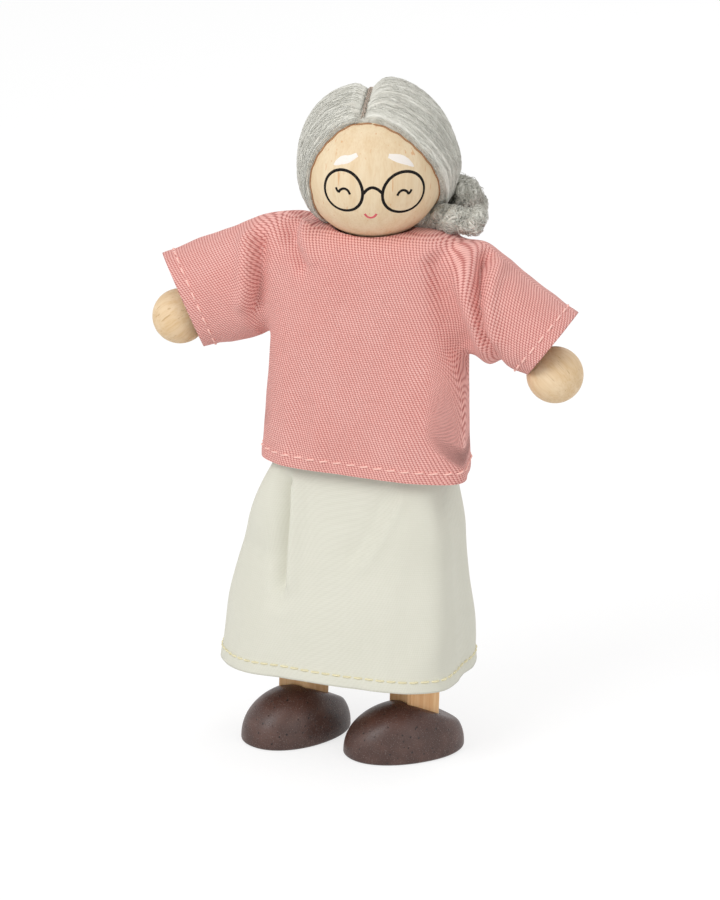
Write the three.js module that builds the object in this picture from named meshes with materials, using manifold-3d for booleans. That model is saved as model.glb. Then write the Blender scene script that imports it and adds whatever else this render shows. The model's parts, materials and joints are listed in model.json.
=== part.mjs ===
// A small wooden dollhouse doll with pinned and pegged joints, in a sewn top and a skirt.
// Millimetres, +Z up. The doll faces -Y, so its left side is +X.
import * as THREE from 'three';
import { mergeVertices } from 'three/addons/utils/BufferGeometryUtils.js';
import Module from 'manifold-3d';

const wasm = await Module();
wasm.setup();

// Driving dimensions, in millimetres unless a name says degrees
const clearance = 0.3; // between pieces that touch or turn on each other
const turnedEdge = 0.4; // chamfer on the edges of turned pieces
const pinShort = 0.2; // a pin ends this far under the surface at each end

const shoe = {
  length: 25,
  width: 17,
  height: 9.3,
  soleEdge: 0.7, // rounding of the lower edge
  sole: 2.6, // wood left under the mortise
  heelShift: 2.2, // the shin stands this far behind the middle
  squareness: 2.15, // of the outline, where 2 is an ellipse
  heelTaper: 0.05, // the front is narrower than the heel by this share
};

const leg = {
  side: 7.3, // square section of thigh and shin
  edge: 0.5, // chamfer along the long edges
  spacing: 22.9, // between the two legs
  kneeHeight: 30,
  thigh: 21, // knee pin to hip pin
  tongue: 2.6, // thickness of the knee tongue
  pin: 0.8, // radius
  toeDegreesRight: -20, // the toe is turned this far from straight ahead, about +Z
  toeDegreesLeft: -38,
};

const hip = {
  tongue: 2.6, // thickness
  tongueRadius: 3.8,
  cheek: 1.9, // wood outside each slot
  cheekRadius: 4.6, // round lower end of the block, about the pins
  collarGap: 0.4, // from the block's round end to the collar
  collar: 5.5, // length of the turned collar
  pin: 1.0, // radius
  pinReach: 2.4, // past the slot, towards the middle of the block
  dowel: 1.5, // radius of the dowel on which the leg swivels
  dowelDepth: 4.3, // into the collar
  dowelWall: 1.95, // wood between the dowel's hole in the thigh and the knee's slot
};

const torso = {
  waistWidth: 25,
  chestWidth: 25.6,
  shoulderWidth: 20.8,
  depth: 14,
  height: 47.6, // from the hip pins to the top
  waistRise: 20, // from the hip pins to the waist
  chestRise: 32, // from the hip pins to the chest
  shoulderFlat: 8, // height of the flat side that a shoulder turns on
  thinRise: 4.4, // the block is thinned up to here over the hip pins
  edge: 3, // rounding
};

const shoulder = {
  drop: 3.8, // from the top of the block
  collar: 2.6, // length
  stem: 1.8, // radius
  stemDepth: 6,
  tongue: 2.5, // thickness
  pin: 0.8, // radius
};

const arm = {
  radius: 3.3,
  foreRadius: 3.0,
  upper: 12.7, // shoulder pin to elbow pin
  fore: 13.4, // elbow pin to the middle of the hand
  slopeDegreesRight: 33.6, // below level, as the arm rests
  slopeDegreesLeft: 40.1,
  hand: 5.3, // radius
  wrist: 2.6, // radius of the groove
  wristLength: 0.9,
  flare: 3.7, // radius of the forearm's end at the groove
  flareLength: 2.4,
  tongue: 2.5, // thickness
  pin: 0.8, // radius
};

const neck = {
  peg: 2.5, // radius
  pegDepth: 8, // into the block, and into the head
  collar: 4.4, // radius
  collarHeight: 1.7,
  opening: 6, // radius of the shirt's neckline
};

const head = {
  radius: 13.2,
  halfHeight: 12.9,
  underside: 12.3, // from the middle down to the flat
  faceDegrees: 17, // turned towards the doll's left
  faceTilt: 5, // the middle of the face lies this many degrees below level
};

const hair = {
  thickness: 1.2,
  crown: 2.5, // more at the top
  fullSide: 1.6, // more on the doll's left
  nape: 1.4, // more at the back
  parting: 1.6, // depth of the groove
  partingDegrees: 11.5, // the parting meets the brow this far towards the doll's right
  partingWidth: 1.8, // half width of the groove
  rim: 0.8, // thickness at the hairline
  rimSink: 1.5, // the form closes this far inside the ball, and is cut by it
  stitch: 0.5, // radius of the stitched line
  stitchDegrees: [66, 128], // from the face's middle, where the stitching starts and ends
};

// Each puff: degrees round from the doll's left to its back, degrees up, and out from the ball
const bun = {
  puff: 4.4, // radius
  puffs: [[21, -19, 4.9], [22, -25, 7.4], [28, -29, 7.4], [38, -35, 4.6], [39, -24, 5.5]],
};

const cloth = 0.7; // thickness of the sewn cloth

const elastic = { height: 3.6, thickness: 0.8 };

const shirt = {
  length: 46.2, // shoulder seam to hem
  lift: 4.2, // the shoulder seam over the top of the block
  hemEase: 4.2, // the hem stands off the block at each side
  hemFrontEase: 4.8,
  shoulderEase: 7.6, // the shoulder stands off the block at each side
  shoulderFrontEase: 2.4,
  round: 6, // height of the rounded shoulder
  roundSide: 3.6, // how far it draws in at the sides
  roundFront: 6.2, // and in front and at the back
  saddle: 1.3, // the neckline's dip under the chin
  squareness: 3.6, // of the outline from above, where 2 is an ellipse
  wave: 0.5, // depth of the soft waves at the hem
  waves: 5,
};

const sleeve = {
  armholeHeight: 21.8,
  armholeDepth: 17.2,
  armholeDrop: 3.7, // its middle under the shoulder pin
  armholeOut: 4.3, // its middle outside the shoulder pin
  tuck: 7.3, // the form starts this far inside the armhole, and is cut by the shirt
  sag: 0.3, // the sleeve's middle hangs under a straight line
  squareness: 2.2,
  crease: 0.9, // depth of the fold beside the armhole
};

// Each cuff: its slope below level, and its middle before and over the middle of the hand
const cuffRight = { height: 19.1, depth: 12.4, degrees: 25, short: 1.5, lift: 2.4 };
const cuffLeft = { height: 15.7, depth: 15, degrees: 36, short: 4.5, lift: 3.8 };

const skirt = {
  hemHeight: 16.1,
  hemTilt: 1.8, // higher on the doll's left, lower on its right
  hemWidth: 50,
  hemDepth: 33,
  hemShift: 2.6, // the hem hangs this far towards the doll's right
  fold: 2.4, // depth of the deep fold in front
  foldDegrees: 52, // round from the doll's right to its front
  foldSpread: 7.5, // half width of the fold, in degrees
  flute: 0.8, // depth of the waves at the hem
  flutes: 6,
  squareness: 2.3, // at the hem, from the block's squarer outline at the waist
  waistSquareness: 6,
};

// Facets round each kind of shape
const facets = { rod: 12, turned: 18, tongue: 20, neckline: 24, head: 26, shoe: 28, shirt: 32,
  sleeve: 22, hair: 40, skirt: 44 };

const look = (colour, roughness, metalness = 0) =>
  new THREE.MeshStandardMaterial({ color: colour, roughness, metalness });
const paleWood = look(0xe6cba0, 0.62);
const handWood = look(0xdcc398, 0.55);
const legWood = look(0xc99462, 0.6);
const shoePaint = look(0x4b3935, 0.5);
const yarn = look(0xb9b9b1, 0.95);
const brownThread = look(0x7b5c44, 0.9);
const pinkCotton = look(0xdc8f8a, 0.92);
const creamCotton = look(0xecebdc, 0.95);
const whiteElastic = look(0xf2f0ea, 0.8);
const pinSteel = look(0xbfc0c2, 0.35, 1);

const radians = THREE.MathUtils.degToRad;
const smooth = THREE.MathUtils.smoothstep;
const mix = THREE.MathUtils.lerp;

// Closed solids from three.js geometry, and meshes from solids

function solidOf(geometry) {
  const bare = new THREE.BufferGeometry();
  bare.setAttribute('position', geometry.getAttribute('position').clone());
  if (geometry.index) bare.setIndex(geometry.index.clone());
  const merged = mergeVertices(bare, 1e-4);
  const corners = merged.index.array;
  const faces = [];
  for (let i = 0; i < corners.length; i += 3) {
    const [a, b, c] = corners.slice(i, i + 3);
    if (a !== b && b !== c && c !== a) faces.push(a, b, c);
  }
  return new wasm.Manifold(new wasm.Mesh({
    numProp: 3,
    vertProperties: Float32Array.from(merged.getAttribute('position').array),
    triVerts: Uint32Array.from(faces),
  }));
}

function piece(name, solid, finish) {
  const mesh = solid.getMesh();
  const geometry = new THREE.BufferGeometry();
  geometry.setAttribute('position', new THREE.BufferAttribute(mesh.vertProperties, 3));
  geometry.setIndex(new THREE.BufferAttribute(mesh.triVerts, 1));
  geometry.computeVertexNormals();
  const node = new THREE.Mesh(geometry, finish);
  node.name = name;
  return node;
}

const join = (first, ...others) => others.reduce((whole, other) => whole.add(other), first);
const cut = (first, ...others) => others.reduce((whole, other) => whole.subtract(other), first);

// Stock shapes

function rod(axis, radius, ends, at = [0, 0, 0], sides = facets.rod) {
  const [from, to] = ends[0] < ends[1] ? ends : [ends[1], ends[0]];
  const geometry = new THREE.CylinderGeometry(radius, radius, to - from, sides);
  geometry.translate(0, (from + to) / 2, 0);
  if (axis === 'x') geometry.rotateZ(-Math.PI / 2);
  if (axis === 'z') geometry.rotateX(Math.PI / 2);
  return solidOf(geometry.translate(...at));
}

function block(x, y, z) {
  const geometry = new THREE.BoxGeometry(x[1] - x[0], y[1] - y[0], z[1] - z[0]);
  geometry.translate((x[0] + x[1]) / 2, (y[0] + y[1]) / 2, (z[0] + z[1]) / 2);
  return solidOf(geometry);
}

// A turned shape about Z, from points of radius and height, from the bottom up
function turned(points, sides = facets.turned) {
  const profile = points.map(([radius, height]) => new THREE.Vector2(radius, height));
  return solidOf(new THREE.LatheGeometry(profile, sides).rotateX(Math.PI / 2));
}

// Points of a round profile about a middle height, from one latitude up to another
function arc(radius, halfHeight, middle, fromDegrees, toDegrees, steps) {
  return Array.from({ length: steps + 1 }, (_, k) => {
    const latitude = radians(mix(fromDegrees, toDegrees, k / steps));
    const reach = Math.max(radius * Math.cos(latitude), 0);
    return [reach < 1e-6 ? 0 : reach, middle + halfHeight * Math.sin(latitude)];
  });
}

// A square bar along Z with chamfered long edges
function bar(side, edge, low, high) {
  const half = side / 2;
  const inner = half - edge;
  const outline = new THREE.Shape([
    [inner, -half], [half, -inner], [half, inner], [inner, half],
    [-inner, half], [-half, inner], [-half, -inner], [-inner, -half],
  ].map(([x, y]) => new THREE.Vector2(x, y)));
  const geometry = new THREE.ExtrudeGeometry(outline, { depth: high - low, bevelEnabled: false });
  return solidOf(geometry.translate(0, 0, low));
}

// A solid through rings of points, each turning anticlockwise about the way they are stacked
function loft(rings) {
  const count = rings[0].length;
  const last = (rings.length - 1) * count;
  const middle = (ring) => ring.reduce((sum, p) => sum.add(p), new THREE.Vector3())
    .divideScalar(count);
  const points = [...rings.flat(), middle(rings[0]), middle(rings.at(-1))];
  const faces = [];
  for (let k = 0; k < count; k++) {
    const next = (k + 1) % count;
    for (let start = 0; start < last; start += count) {
      faces.push(start + k, start + next, start + count + next);
      faces.push(start + k, start + count + next, start + count + k);
    }
    faces.push(points.length - 2, next, k);
    faces.push(points.length - 1, last + k, last + next);
  }
  const geometry = new THREE.BufferGeometry().setFromPoints(points);
  geometry.setIndex(faces);
  return solidOf(geometry);
}

// The points of a ring with rounded corners: squareness 2 is an ellipse, higher is squarer
function ring(halfWidth, halfDepth, squareness, count, place) {
  return Array.from({ length: count }, (_, k) => {
    const turn = (k / count) * 2 * Math.PI;
    const reach = (part) => Math.sign(part) * Math.abs(part) ** (2 / squareness);
    return place(halfWidth * reach(Math.cos(turn)), halfDepth * reach(Math.sin(turn)), turn);
  });
}

// Places that pieces share

const hipX = leg.spacing / 2;
const hipHeight = leg.kneeHeight + leg.thigh;
const hipSlot = hip.tongue / 2 + clearance;
const hipWidth = 2 * (hipX + hipSlot + hip.cheek);
const torsoLow = hipHeight - hip.cheekRadius;
const thinTop = hipHeight + torso.thinRise;
const torsoTop = hipHeight + torso.height;
const shoulderHeight = torsoTop - shoulder.drop;
const armPivot = arm.radius + clearance; // from the shoulder pin to the knuckle's collar
const shoulderX = torso.shoulderWidth / 2 + clearance + shoulder.collar + armPivot;
const collarTop = -hip.cheekRadius - hip.collarGap; // a hip's collar, under its pin
const thighTop = collarTop - hip.collar - clearance;
const thighLength = leg.thigh + thighTop; // knee pin to the thigh's top
const kneeReach = leg.side / 2 + clearance; // from the knee pin down to the shin's shoulder
const kneeTongue = leg.side / 2 - clearance; // radius
const dowelHole = kneeTongue + clearance + hip.dowelWall; // its end over the knee pin
const headBase = torsoTop + clearance + neck.collarHeight + clearance;
const headHeight = headBase + head.underside;
const handReach = arm.upper + arm.fore;
const armSlope = (way) => radians(way < 0 ? arm.slopeDegreesRight : arm.slopeDegreesLeft);

// Torso block: a front outline crossed with a side outline, then slotted and bored

function torsoBlock() {
  const front = new THREE.Shape();
  const [hips, waist, chest, top] = [hipWidth, torso.waistWidth, torso.chestWidth,
    torso.shoulderWidth].map((width) => width / 2 - torso.edge);
  const waistHeight = hipHeight + torso.waistRise;
  const chestHeight = hipHeight + torso.chestRise;
  const flatLow = torsoTop - torso.shoulderFlat;
  const right = [[hips, torsoLow + torso.edge], [hips, thinTop + torso.edge],
    [waist, waistHeight], [chest, chestHeight], [top, flatLow], [top, torsoTop - torso.edge]];
  const left = right.map(([x, z]) => [-x, z]).reverse();
  front.setFromPoints([...right, ...left].map(([x, z]) => new THREE.Vector2(x, z)));
  const slab = new THREE.ExtrudeGeometry(front, {
    depth: torso.depth - 2 * torso.edge,
    bevelSize: torso.edge,
    bevelThickness: torso.edge,
    bevelSegments: 3,
  });
  slab.translate(0, 0, torso.edge - torso.depth / 2).rotateX(Math.PI / 2);

  const half = torso.depth / 2;
  const side = new THREE.Shape();
  side.absarc(0, hipHeight, hip.cheekRadius, Math.PI, 2 * Math.PI);
  side.lineTo(hip.cheekRadius, thinTop);
  side.lineTo(half, thinTop);
  side.lineTo(half, torsoTop - 2 * torso.edge);
  side.quadraticCurveTo(half, torsoTop - torso.edge / 2, half - torso.edge, torsoTop);
  side.lineTo(torso.edge - half, torsoTop);
  side.quadraticCurveTo(-half, torsoTop - torso.edge / 2, -half, torsoTop - 2 * torso.edge);
  side.lineTo(-half, thinTop);
  side.lineTo(-hip.cheekRadius, thinTop);
  const sideOutline = new THREE.ExtrudeGeometry(side, {
    depth: hipWidth, bevelEnabled: false, curveSegments: 10,
  });
  sideOutline.translate(0, 0, -hipWidth / 2).rotateX(Math.PI / 2).rotateZ(Math.PI / 2);

  const cuts = [rod('z', neck.peg + clearance, [torsoTop - neck.pegDepth, torsoTop + 1])];
  for (const way of [-1, 1]) {
    const slot = [way * hipX - hipSlot, way * hipX + hipSlot];
    const slotTop = hipHeight + hip.tongueRadius + clearance;
    cuts.push(block(slot, [-half, half], [torsoLow - 1, slotTop]));
    const pinHole = [hipX - hipSlot - hip.pinReach, hipWidth].map((x) => way * x);
    cuts.push(rod('x', hip.pin + clearance, pinHole, [0, 0, hipHeight]));
    const bore = [torso.shoulderWidth / 2 - shoulder.stemDepth, hipWidth];
    cuts.push(rod('x', shoulder.stem + clearance, bore.map((x) => way * x),
      [0, 0, shoulderHeight]));
  }
  return cut(solidOf(slab).intersect(solidOf(sideOutline)), ...cuts);
}

const hipPin = (way) => rod('x', hip.pin,
  [hipX - hipSlot - hip.pinReach + clearance, hipWidth / 2 - clearance].map((x) => way * x),
  [0, 0, hipHeight]);

// Neck peg: a dowel with a collar, that carries the head

const neckPeg = () => turned([
  [0, torsoTop - neck.pegDepth + clearance],
  [neck.peg, torsoTop - neck.pegDepth + clearance],
  [neck.peg, torsoTop + clearance],
  [neck.collar - turnedEdge, torsoTop + clearance],
  [neck.collar, torsoTop + clearance + turnedEdge],
  [neck.collar, headBase - clearance - turnedEdge],
  [neck.collar - turnedEdge, headBase - clearance],
  [neck.peg, headBase - clearance],
  [neck.peg, headBase + neck.pegDepth - clearance],
  [0, headBase + neck.pegDepth - clearance],
]);

// Knuckles: a flat tongue with a pin hole, in slots that the pins cross

// A tongue about a pin along X, that reaches down to a shoulder
const tongue = (thickness, radius, reach, pin) => join(
  rod('x', radius, [-thickness / 2, thickness / 2], [0, 0, 0], facets.tongue),
  block([-thickness / 2, thickness / 2], [-radius, radius], [-reach, 0]),
).subtract(rod('x', pin + clearance, [-thickness, thickness]));

const hipKnuckle = () => join(
  tongue(hip.tongue, hip.tongueRadius, 1 - collarTop, hip.pin)
    .intersect(rod('z', leg.side / 2, [collarTop - 1, hipHeight], [0, 0, 0], facets.turned)
      .add(block([-hip.tongue, hip.tongue], [-leg.side, leg.side], [0, leg.side]))),
  turned([
    [0, collarTop - hip.collar],
    [leg.side / 2 - leg.edge, collarTop - hip.collar],
    [leg.side / 2, collarTop - hip.collar + leg.edge],
    [leg.side / 2, collarTop - leg.edge],
    [leg.side / 2 - leg.edge, collarTop],
    [0, collarTop],
  ]),
).subtract(rod('z', hip.dowel + clearance,
  [collarTop - hip.collar - 1, collarTop - hip.collar + hip.dowelDepth + clearance]));

const thighDowel = () => rod('z', hip.dowel,
  [dowelHole + clearance - leg.thigh, collarTop - hip.collar + hip.dowelDepth]);

// Thigh and shin, about the knee pin along X

const thigh = () => cut(
  join(
    bar(leg.side, leg.edge, 0, thighLength),
    rod('x', leg.side / 2, [-leg.side / 2, leg.side / 2], [0, 0, 0], facets.tongue),
  ),
  block([-leg.tongue / 2 - clearance, leg.tongue / 2 + clearance], [-leg.side, leg.side],
    [-leg.side, kneeTongue + clearance]),
  rod('x', leg.pin + clearance, [-leg.side, leg.side]),
  rod('z', hip.dowel + clearance, [dowelHole, thighLength + 1]),
);

const kneePin = () => rod('x', leg.pin, [pinShort - leg.side / 2, leg.side / 2 - pinShort]);

const shinLow = shoe.sole + clearance - leg.kneeHeight;

const shin = () => join(
  tongue(leg.tongue, kneeTongue, kneeReach + 1, leg.pin),
  bar(leg.side, leg.edge, shinLow, -kneeReach),
);

// Shoe: half an egg on a flat sole, with a square mortise for the shin

function shoeSolid() {
  const [halfWidth, halfLength] = [shoe.width / 2, shoe.length / 2];
  const steps = 7;
  const topDegrees = 85; // the last ring, just under the flat top
  const fullness = 0.9; // under 1 makes the dome fuller than an ellipse
  const levels = [[1 - shoe.soleEdge / halfWidth, 0]];
  for (let k = 0; k <= steps; k++) {
    const rise = radians(topDegrees) * (k / steps);
    levels.push([Math.cos(rise) ** fullness,
      shoe.soleEdge + (shoe.height - shoe.soleEdge) * Math.sin(rise) ** fullness]);
  }
  const place = (z) => (x, y) => new THREE.Vector3(
    x * (1 + shoe.heelTaper * (y / halfLength)), y - shoe.heelShift, z);
  const body = loft(levels.map(([share, z]) => ring(halfWidth * share, halfLength * share,
    shoe.squareness, facets.shoe, place(z))));
  const half = leg.side / 2 + clearance;
  return body.subtract(block([-half, half], [-half, half], [shoe.sole, shoe.height + 1]));
}

// Shoulder knuckle: a tongue about a pin along X, with its collar and stem towards -Z

function shoulderKnuckle() {
  const face = -armPivot;
  const collarEnd = face - shoulder.collar;
  const stemEnd = collarEnd - shoulder.stemDepth;
  return join(
    tongue(shoulder.tongue, arm.radius - clearance, armPivot + 1, shoulder.pin),
    turned([
      [0, stemEnd],
      [shoulder.stem, stemEnd],
      [shoulder.stem, collarEnd],
      [arm.radius - turnedEdge, collarEnd],
      [arm.radius, collarEnd + turnedEdge],
      [arm.radius, face - turnedEdge],
      [arm.radius - turnedEdge, face],
      [0, face],
    ]),
  );
}

// Upper arm along -Z: a round-ended bar, slotted for a pin along Y on top and along X below

function upperArm() {
  const slot = arm.tongue / 2 + clearance;
  const slotEnd = arm.radius;
  return cut(
    turned([
      ...arc(arm.radius, arm.radius, -arm.upper, -90, 0, 5),
      ...arc(arm.radius, arm.radius, 0, 0, 90, 5),
    ]),
    block([-arm.radius, arm.radius], [-slot, slot], [-slotEnd, arm.radius]),
    rod('y', shoulder.pin + clearance, [-arm.radius, arm.radius]),
    block([-slot, slot], [-arm.radius, arm.radius],
      [-arm.upper - arm.radius, -arm.upper + slotEnd]),
    rod('x', arm.pin + clearance, [-arm.radius, arm.radius], [0, 0, -arm.upper]),
  );
}

const shoulderPin = () => rod('y', shoulder.pin,
  [pinShort - arm.radius, arm.radius - pinShort]);
const elbowPin = () => rod('x', arm.pin, [pinShort - arm.radius, arm.radius - pinShort],
  [0, 0, -arm.upper]);

// Forearm and hand along -Z, turned in one piece below a tongue about the elbow pin

function forearmHand() {
  const grooveTop = Math.sqrt(arm.hand ** 2 - arm.wrist ** 2) - arm.fore;
  const grooveAngle = THREE.MathUtils.radToDeg(Math.acos(arm.wrist / arm.hand));
  const flareLow = grooveTop + arm.wristLength;
  const top = -arm.radius - clearance;
  return join(
    tongue(arm.tongue, arm.radius - clearance, 1 - top, arm.pin),
    turned([
      ...arc(arm.hand, arm.hand, -arm.fore, -90, grooveAngle, 9),
      [arm.wrist, flareLow],
      [arm.flare - turnedEdge, flareLow],
      [arm.flare, flareLow + turnedEdge],
      [arm.foreRadius, flareLow + arm.flareLength],
      [arm.foreRadius, top - turnedEdge],
      [arm.foreRadius - turnedEdge, top],
      [0, top],
    ]),
  );
}

// Head, about the middle of the ball, with the face towards -Y

const headBall = () => turned([
  [0, -head.underside],
  ...arc(head.radius, head.halfHeight, 0,
    -THREE.MathUtils.radToDeg(Math.asin(head.underside / head.halfHeight)), 90, 11),
], facets.head).subtract(rod('z', neck.peg + clearance,
  [-head.underside - 1, -head.underside + neck.pegDepth]));

// Hair: for each way out of the face, an angle from the face's middle to the hairline
const faceMiddle = new THREE.Vector3(0, -Math.cos(radians(head.faceTilt)),
  -Math.sin(radians(head.faceTilt)));
const faceUp = new THREE.Vector3(0, faceMiddle.z, -faceMiddle.y);
const hairlineDegrees = [62, 59.5, 58, 60, 67, 81, 102, 117, 124]; // from the top to the nape

function hairlineAngle(around) {
  const place = (Math.abs(around) / Math.PI) * (hairlineDegrees.length - 1);
  const k = Math.min(Math.floor(place), hairlineDegrees.length - 2);
  return radians(mix(hairlineDegrees[k], hairlineDegrees[k + 1], place - k));
}

function wayOut(around, angle) {
  return faceMiddle.clone().multiplyScalar(Math.cos(angle))
    .addScaledVector(faceUp, Math.sin(angle) * Math.cos(around))
    .add(new THREE.Vector3(Math.sin(angle) * Math.sin(around), 0, 0));
}

const ballReach = (way) => 1 / Math.sqrt((way.x ** 2 + way.y ** 2) / head.radius ** 2
  + way.z ** 2 / head.halfHeight ** 2);

// The parting's plane is turned about Z, so it runs askew of the face
const partingTurn = radians(hair.partingDegrees);

function hairThickness(way) {
  const aside = (way.x * Math.cos(partingTurn) - way.y * Math.sin(partingTurn)) * head.radius;
  const groove = hair.parting * Math.exp(-((aside / hair.partingWidth) ** 2))
    * smooth(way.z, 0, 0.4);
  return hair.thickness + hair.crown * Math.max(way.z, 0) ** 1.5
    + hair.fullSide * Math.max(way.x, 0) + hair.nape * Math.max(way.y, 0) - groove;
}

// The hair's rounded outer form, closed through the head, and grown where a bun is cut by it
function hairForm(grown) {
  const rows = 9;
  const lastAngle = radians(177); // the last ring, round the back of the head
  const rings = [];
  for (let row = -1; row < rows; row++) {
    const share = Math.max(row, 0) / rows;
    const points = [];
    for (let k = 0; k < facets.hair; k++) {
      const turn = (k / facets.hair) * 2 * Math.PI;
      const start = hairlineAngle(turn > Math.PI ? turn - 2 * Math.PI : turn);
      const way = wayOut(turn, mix(start, lastAngle, share ** 1.25));
      const layer = mix(hair.rim, hairThickness(way), smooth(share, -0.05, 0.2)) + grown;
      points.push(way.multiplyScalar(ballReach(way) + clearance
        + (row < 0 ? -hair.rimSink : layer)));
    }
    rings.push(points);
  }
  return loft(rings);
}

const hairCap = () => hairForm(0).subtract(turned(
  arc(head.radius + clearance, head.halfHeight + clearance, 0, -90, 90, 11), facets.head));

function partingStitch() {
  const points = [];
  const [from, to] = hair.stitchDegrees;
  for (let degrees = from; degrees <= to; degrees += 6) {
    const way = wayOut(0, radians(degrees)).applyAxisAngle(new THREE.Vector3(0, 0, 1),
      -partingTurn);
    points.push(way.multiplyScalar(ballReach(way) + hairThickness(way)
      + 2 * clearance + hair.stitch));
  }
  const section = new THREE.Shape(ring(hair.stitch, hair.stitch, 2, 8,
    (x, y) => new THREE.Vector2(x, y)));
  return solidOf(new THREE.ExtrudeGeometry(section, {
    extrudePath: new THREE.CatmullRomCurve3(points), steps: 14, bevelEnabled: false,
  }));
}

// Bun: loose puffs of yarn, pressed against the hair and the shirt

function hairBun(shirtInHeadFrame) {
  const puffs = bun.puffs.map(([around, up, out]) => {
    const middle = new THREE.Vector3(head.radius + out, 0, 0)
      .applyEuler(new THREE.Euler(0, -radians(up), radians(around), 'ZYX'));
    return solidOf(new THREE.SphereGeometry(bun.puff, 12, 8).rotateX(Math.PI / 2)
      .translate(...middle));
  });
  return cut(join(...puffs), hairForm(clearance), shirtInHeadFrame);
}

// Shirt: a hollow form over the block, open at the hem, the neck and the armholes

const shirtTop = torsoTop + shirt.lift;
const shirtHem = shirtTop - shirt.length;

function shirtForm(grown, below = 0) {
  const rows = [[-below, 0]];
  const straight = shirt.length - shirt.round;
  for (const share of [0.02, 0.25, 0.5, 0.75, 1]) rows.push([share * straight, 0]);
  for (const rise of [0.35, 0.62, 0.82, 0.94, 1]) {
    rows.push([straight + rise * shirt.round, rise]);
  }
  return loft(rows.map(([height, rise]) => {
    const share = Math.max(height, 0) / shirt.length;
    const draw = 1 - Math.sqrt(1 - rise ** 2);
    const halfWidth = mix(hipWidth / 2 + shirt.hemEase,
      torso.shoulderWidth / 2 + shirt.shoulderEase, share) - shirt.roundSide * draw + grown;
    const halfDepth = mix(torso.depth / 2 + shirt.hemFrontEase,
      torso.depth / 2 + shirt.shoulderFrontEase, share) - shirt.roundFront * draw + grown;
    return ring(halfWidth, halfDepth, shirt.squareness, facets.shirt, (x, y, turn) => {
      const wave = 1 + (shirt.wave / halfWidth) * (1 - share) ** 3
        * Math.cos(shirt.waves * turn - 0.6);
      const dip = shirt.saddle * rise * Math.exp(-((x / neck.collar / 2) ** 2));
      const lip = rise > 0 ? grown * rise : 0;
      return new THREE.Vector3(x * wave, y * wave, shirtHem + height + lip - dip);
    });
  }));
}

const chinRoom = () => solidOf(new THREE.SphereGeometry(1, 24, 18)
  .scale(head.radius + clearance, head.radius + clearance, head.halfHeight + clearance)
  .translate(0, 0, headHeight));

const shirtBody = () => cut(
  shirtForm(0),
  shirtForm(-cloth, 1),
  rod('z', neck.opening, [torsoTop, shirtTop + 1], [0, 0, 0], facets.neckline),
  chinRoom(),
  sleeveForm(-1, -cloth),
  sleeveForm(1, -cloth),
);

// Sleeve: rings from inside the shirt, through the armhole, to the cuff

function sleeveForm(way, grown, beyond = 0) {
  const slope = armSlope(way);
  const end = way < 0 ? cuffRight : cuffLeft;
  const cuffSlope = radians(end.degrees);
  const armhole = [shoulderX + sleeve.armholeOut, shoulderHeight - sleeve.armholeDrop];
  const start = [armhole[0] - sleeve.tuck, armhole[1]];
  const cuff = [
    shoulderX + handReach * Math.cos(slope) - end.short * Math.cos(cuffSlope)
      + end.lift * Math.sin(cuffSlope),
    shoulderHeight - handReach * Math.sin(slope) + end.short * Math.sin(cuffSlope)
      + end.lift * Math.cos(cuffSlope),
  ];
  const over = [(armhole[0] + cuff[0]) / 2, (armhole[1] + cuff[1]) / 2 - sleeve.sag];
  const bend = (k, t) => (1 - t) ** 2 * armhole[k] + 2 * t * (1 - t) * over[k] + t ** 2 * cuff[k];
  const rings = [[start[0], start[1], 0, 0.84 * sleeve.armholeHeight / 2,
    0.74 * sleeve.armholeDepth / 2, 0]];
  const steps = 6;
  for (let k = 0; k <= steps; k++) {
    const t = k / steps;
    rings.push([bend(0, t), bend(1, t), mix(radians(4), cuffSlope, t),
      mix(sleeve.armholeHeight, end.height, t) / 2,
      mix(sleeve.armholeDepth, end.depth, t) / 2, t]);
  }
  if (beyond) {
    const [x, z, tilt, height, depth] = rings.at(-1);
    rings.push([x + beyond * Math.cos(tilt), z - beyond * Math.sin(tilt), tilt, height, depth, 1]);
  }
  return loft(rings.map(([x, z, tilt, height, depth, t]) => ring(depth + grown, height + grown,
    sleeve.squareness, facets.sleeve, (flat, high, turn) => {
      const fold = sleeve.crease * Math.exp(-(((t - 0.22) / 0.12) ** 2))
        * Math.exp(-(((turn - Math.PI) / 0.7) ** 2));
      const inward = 1 - fold / depth;
      return new THREE.Vector3(way * (x + high * Math.sin(tilt)), way * flat * inward,
        z + high * Math.cos(tilt));
    })));
}

const sleeveCloth = (way) => cut(sleeveForm(way, 0), sleeveForm(way, -cloth, 1),
  shirtForm(clearance));

// Waist elastic round the block, and the skirt round it

const bandLow = thinTop + clearance;
const bandTop = bandLow + elastic.height;

function roundedBlock(halfWidth, halfDepth, radius, low, high) {
  const outline = new THREE.Shape();
  outline.absarc(halfWidth - radius, halfDepth - radius, radius, 0, Math.PI / 2);
  outline.absarc(radius - halfWidth, halfDepth - radius, radius, Math.PI / 2, Math.PI);
  outline.absarc(radius - halfWidth, radius - halfDepth, radius, Math.PI, 1.5 * Math.PI);
  outline.absarc(halfWidth - radius, radius - halfDepth, radius, 1.5 * Math.PI, 2 * Math.PI);
  const geometry = new THREE.ExtrudeGeometry(outline, {
    depth: high - low, bevelEnabled: false, curveSegments: 4,
  });
  return solidOf(geometry.translate(0, 0, low));
}

function waistElastic() {
  const [x, y] = [hipWidth / 2 + clearance, torso.depth / 2 + clearance];
  const radius = torso.edge + clearance;
  const more = elastic.thickness;
  return roundedBlock(x + more, y + more, radius + more, bandLow, bandTop)
    .subtract(roundedBlock(x, y, radius, bandLow - 1, bandTop + 1));
}

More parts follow.
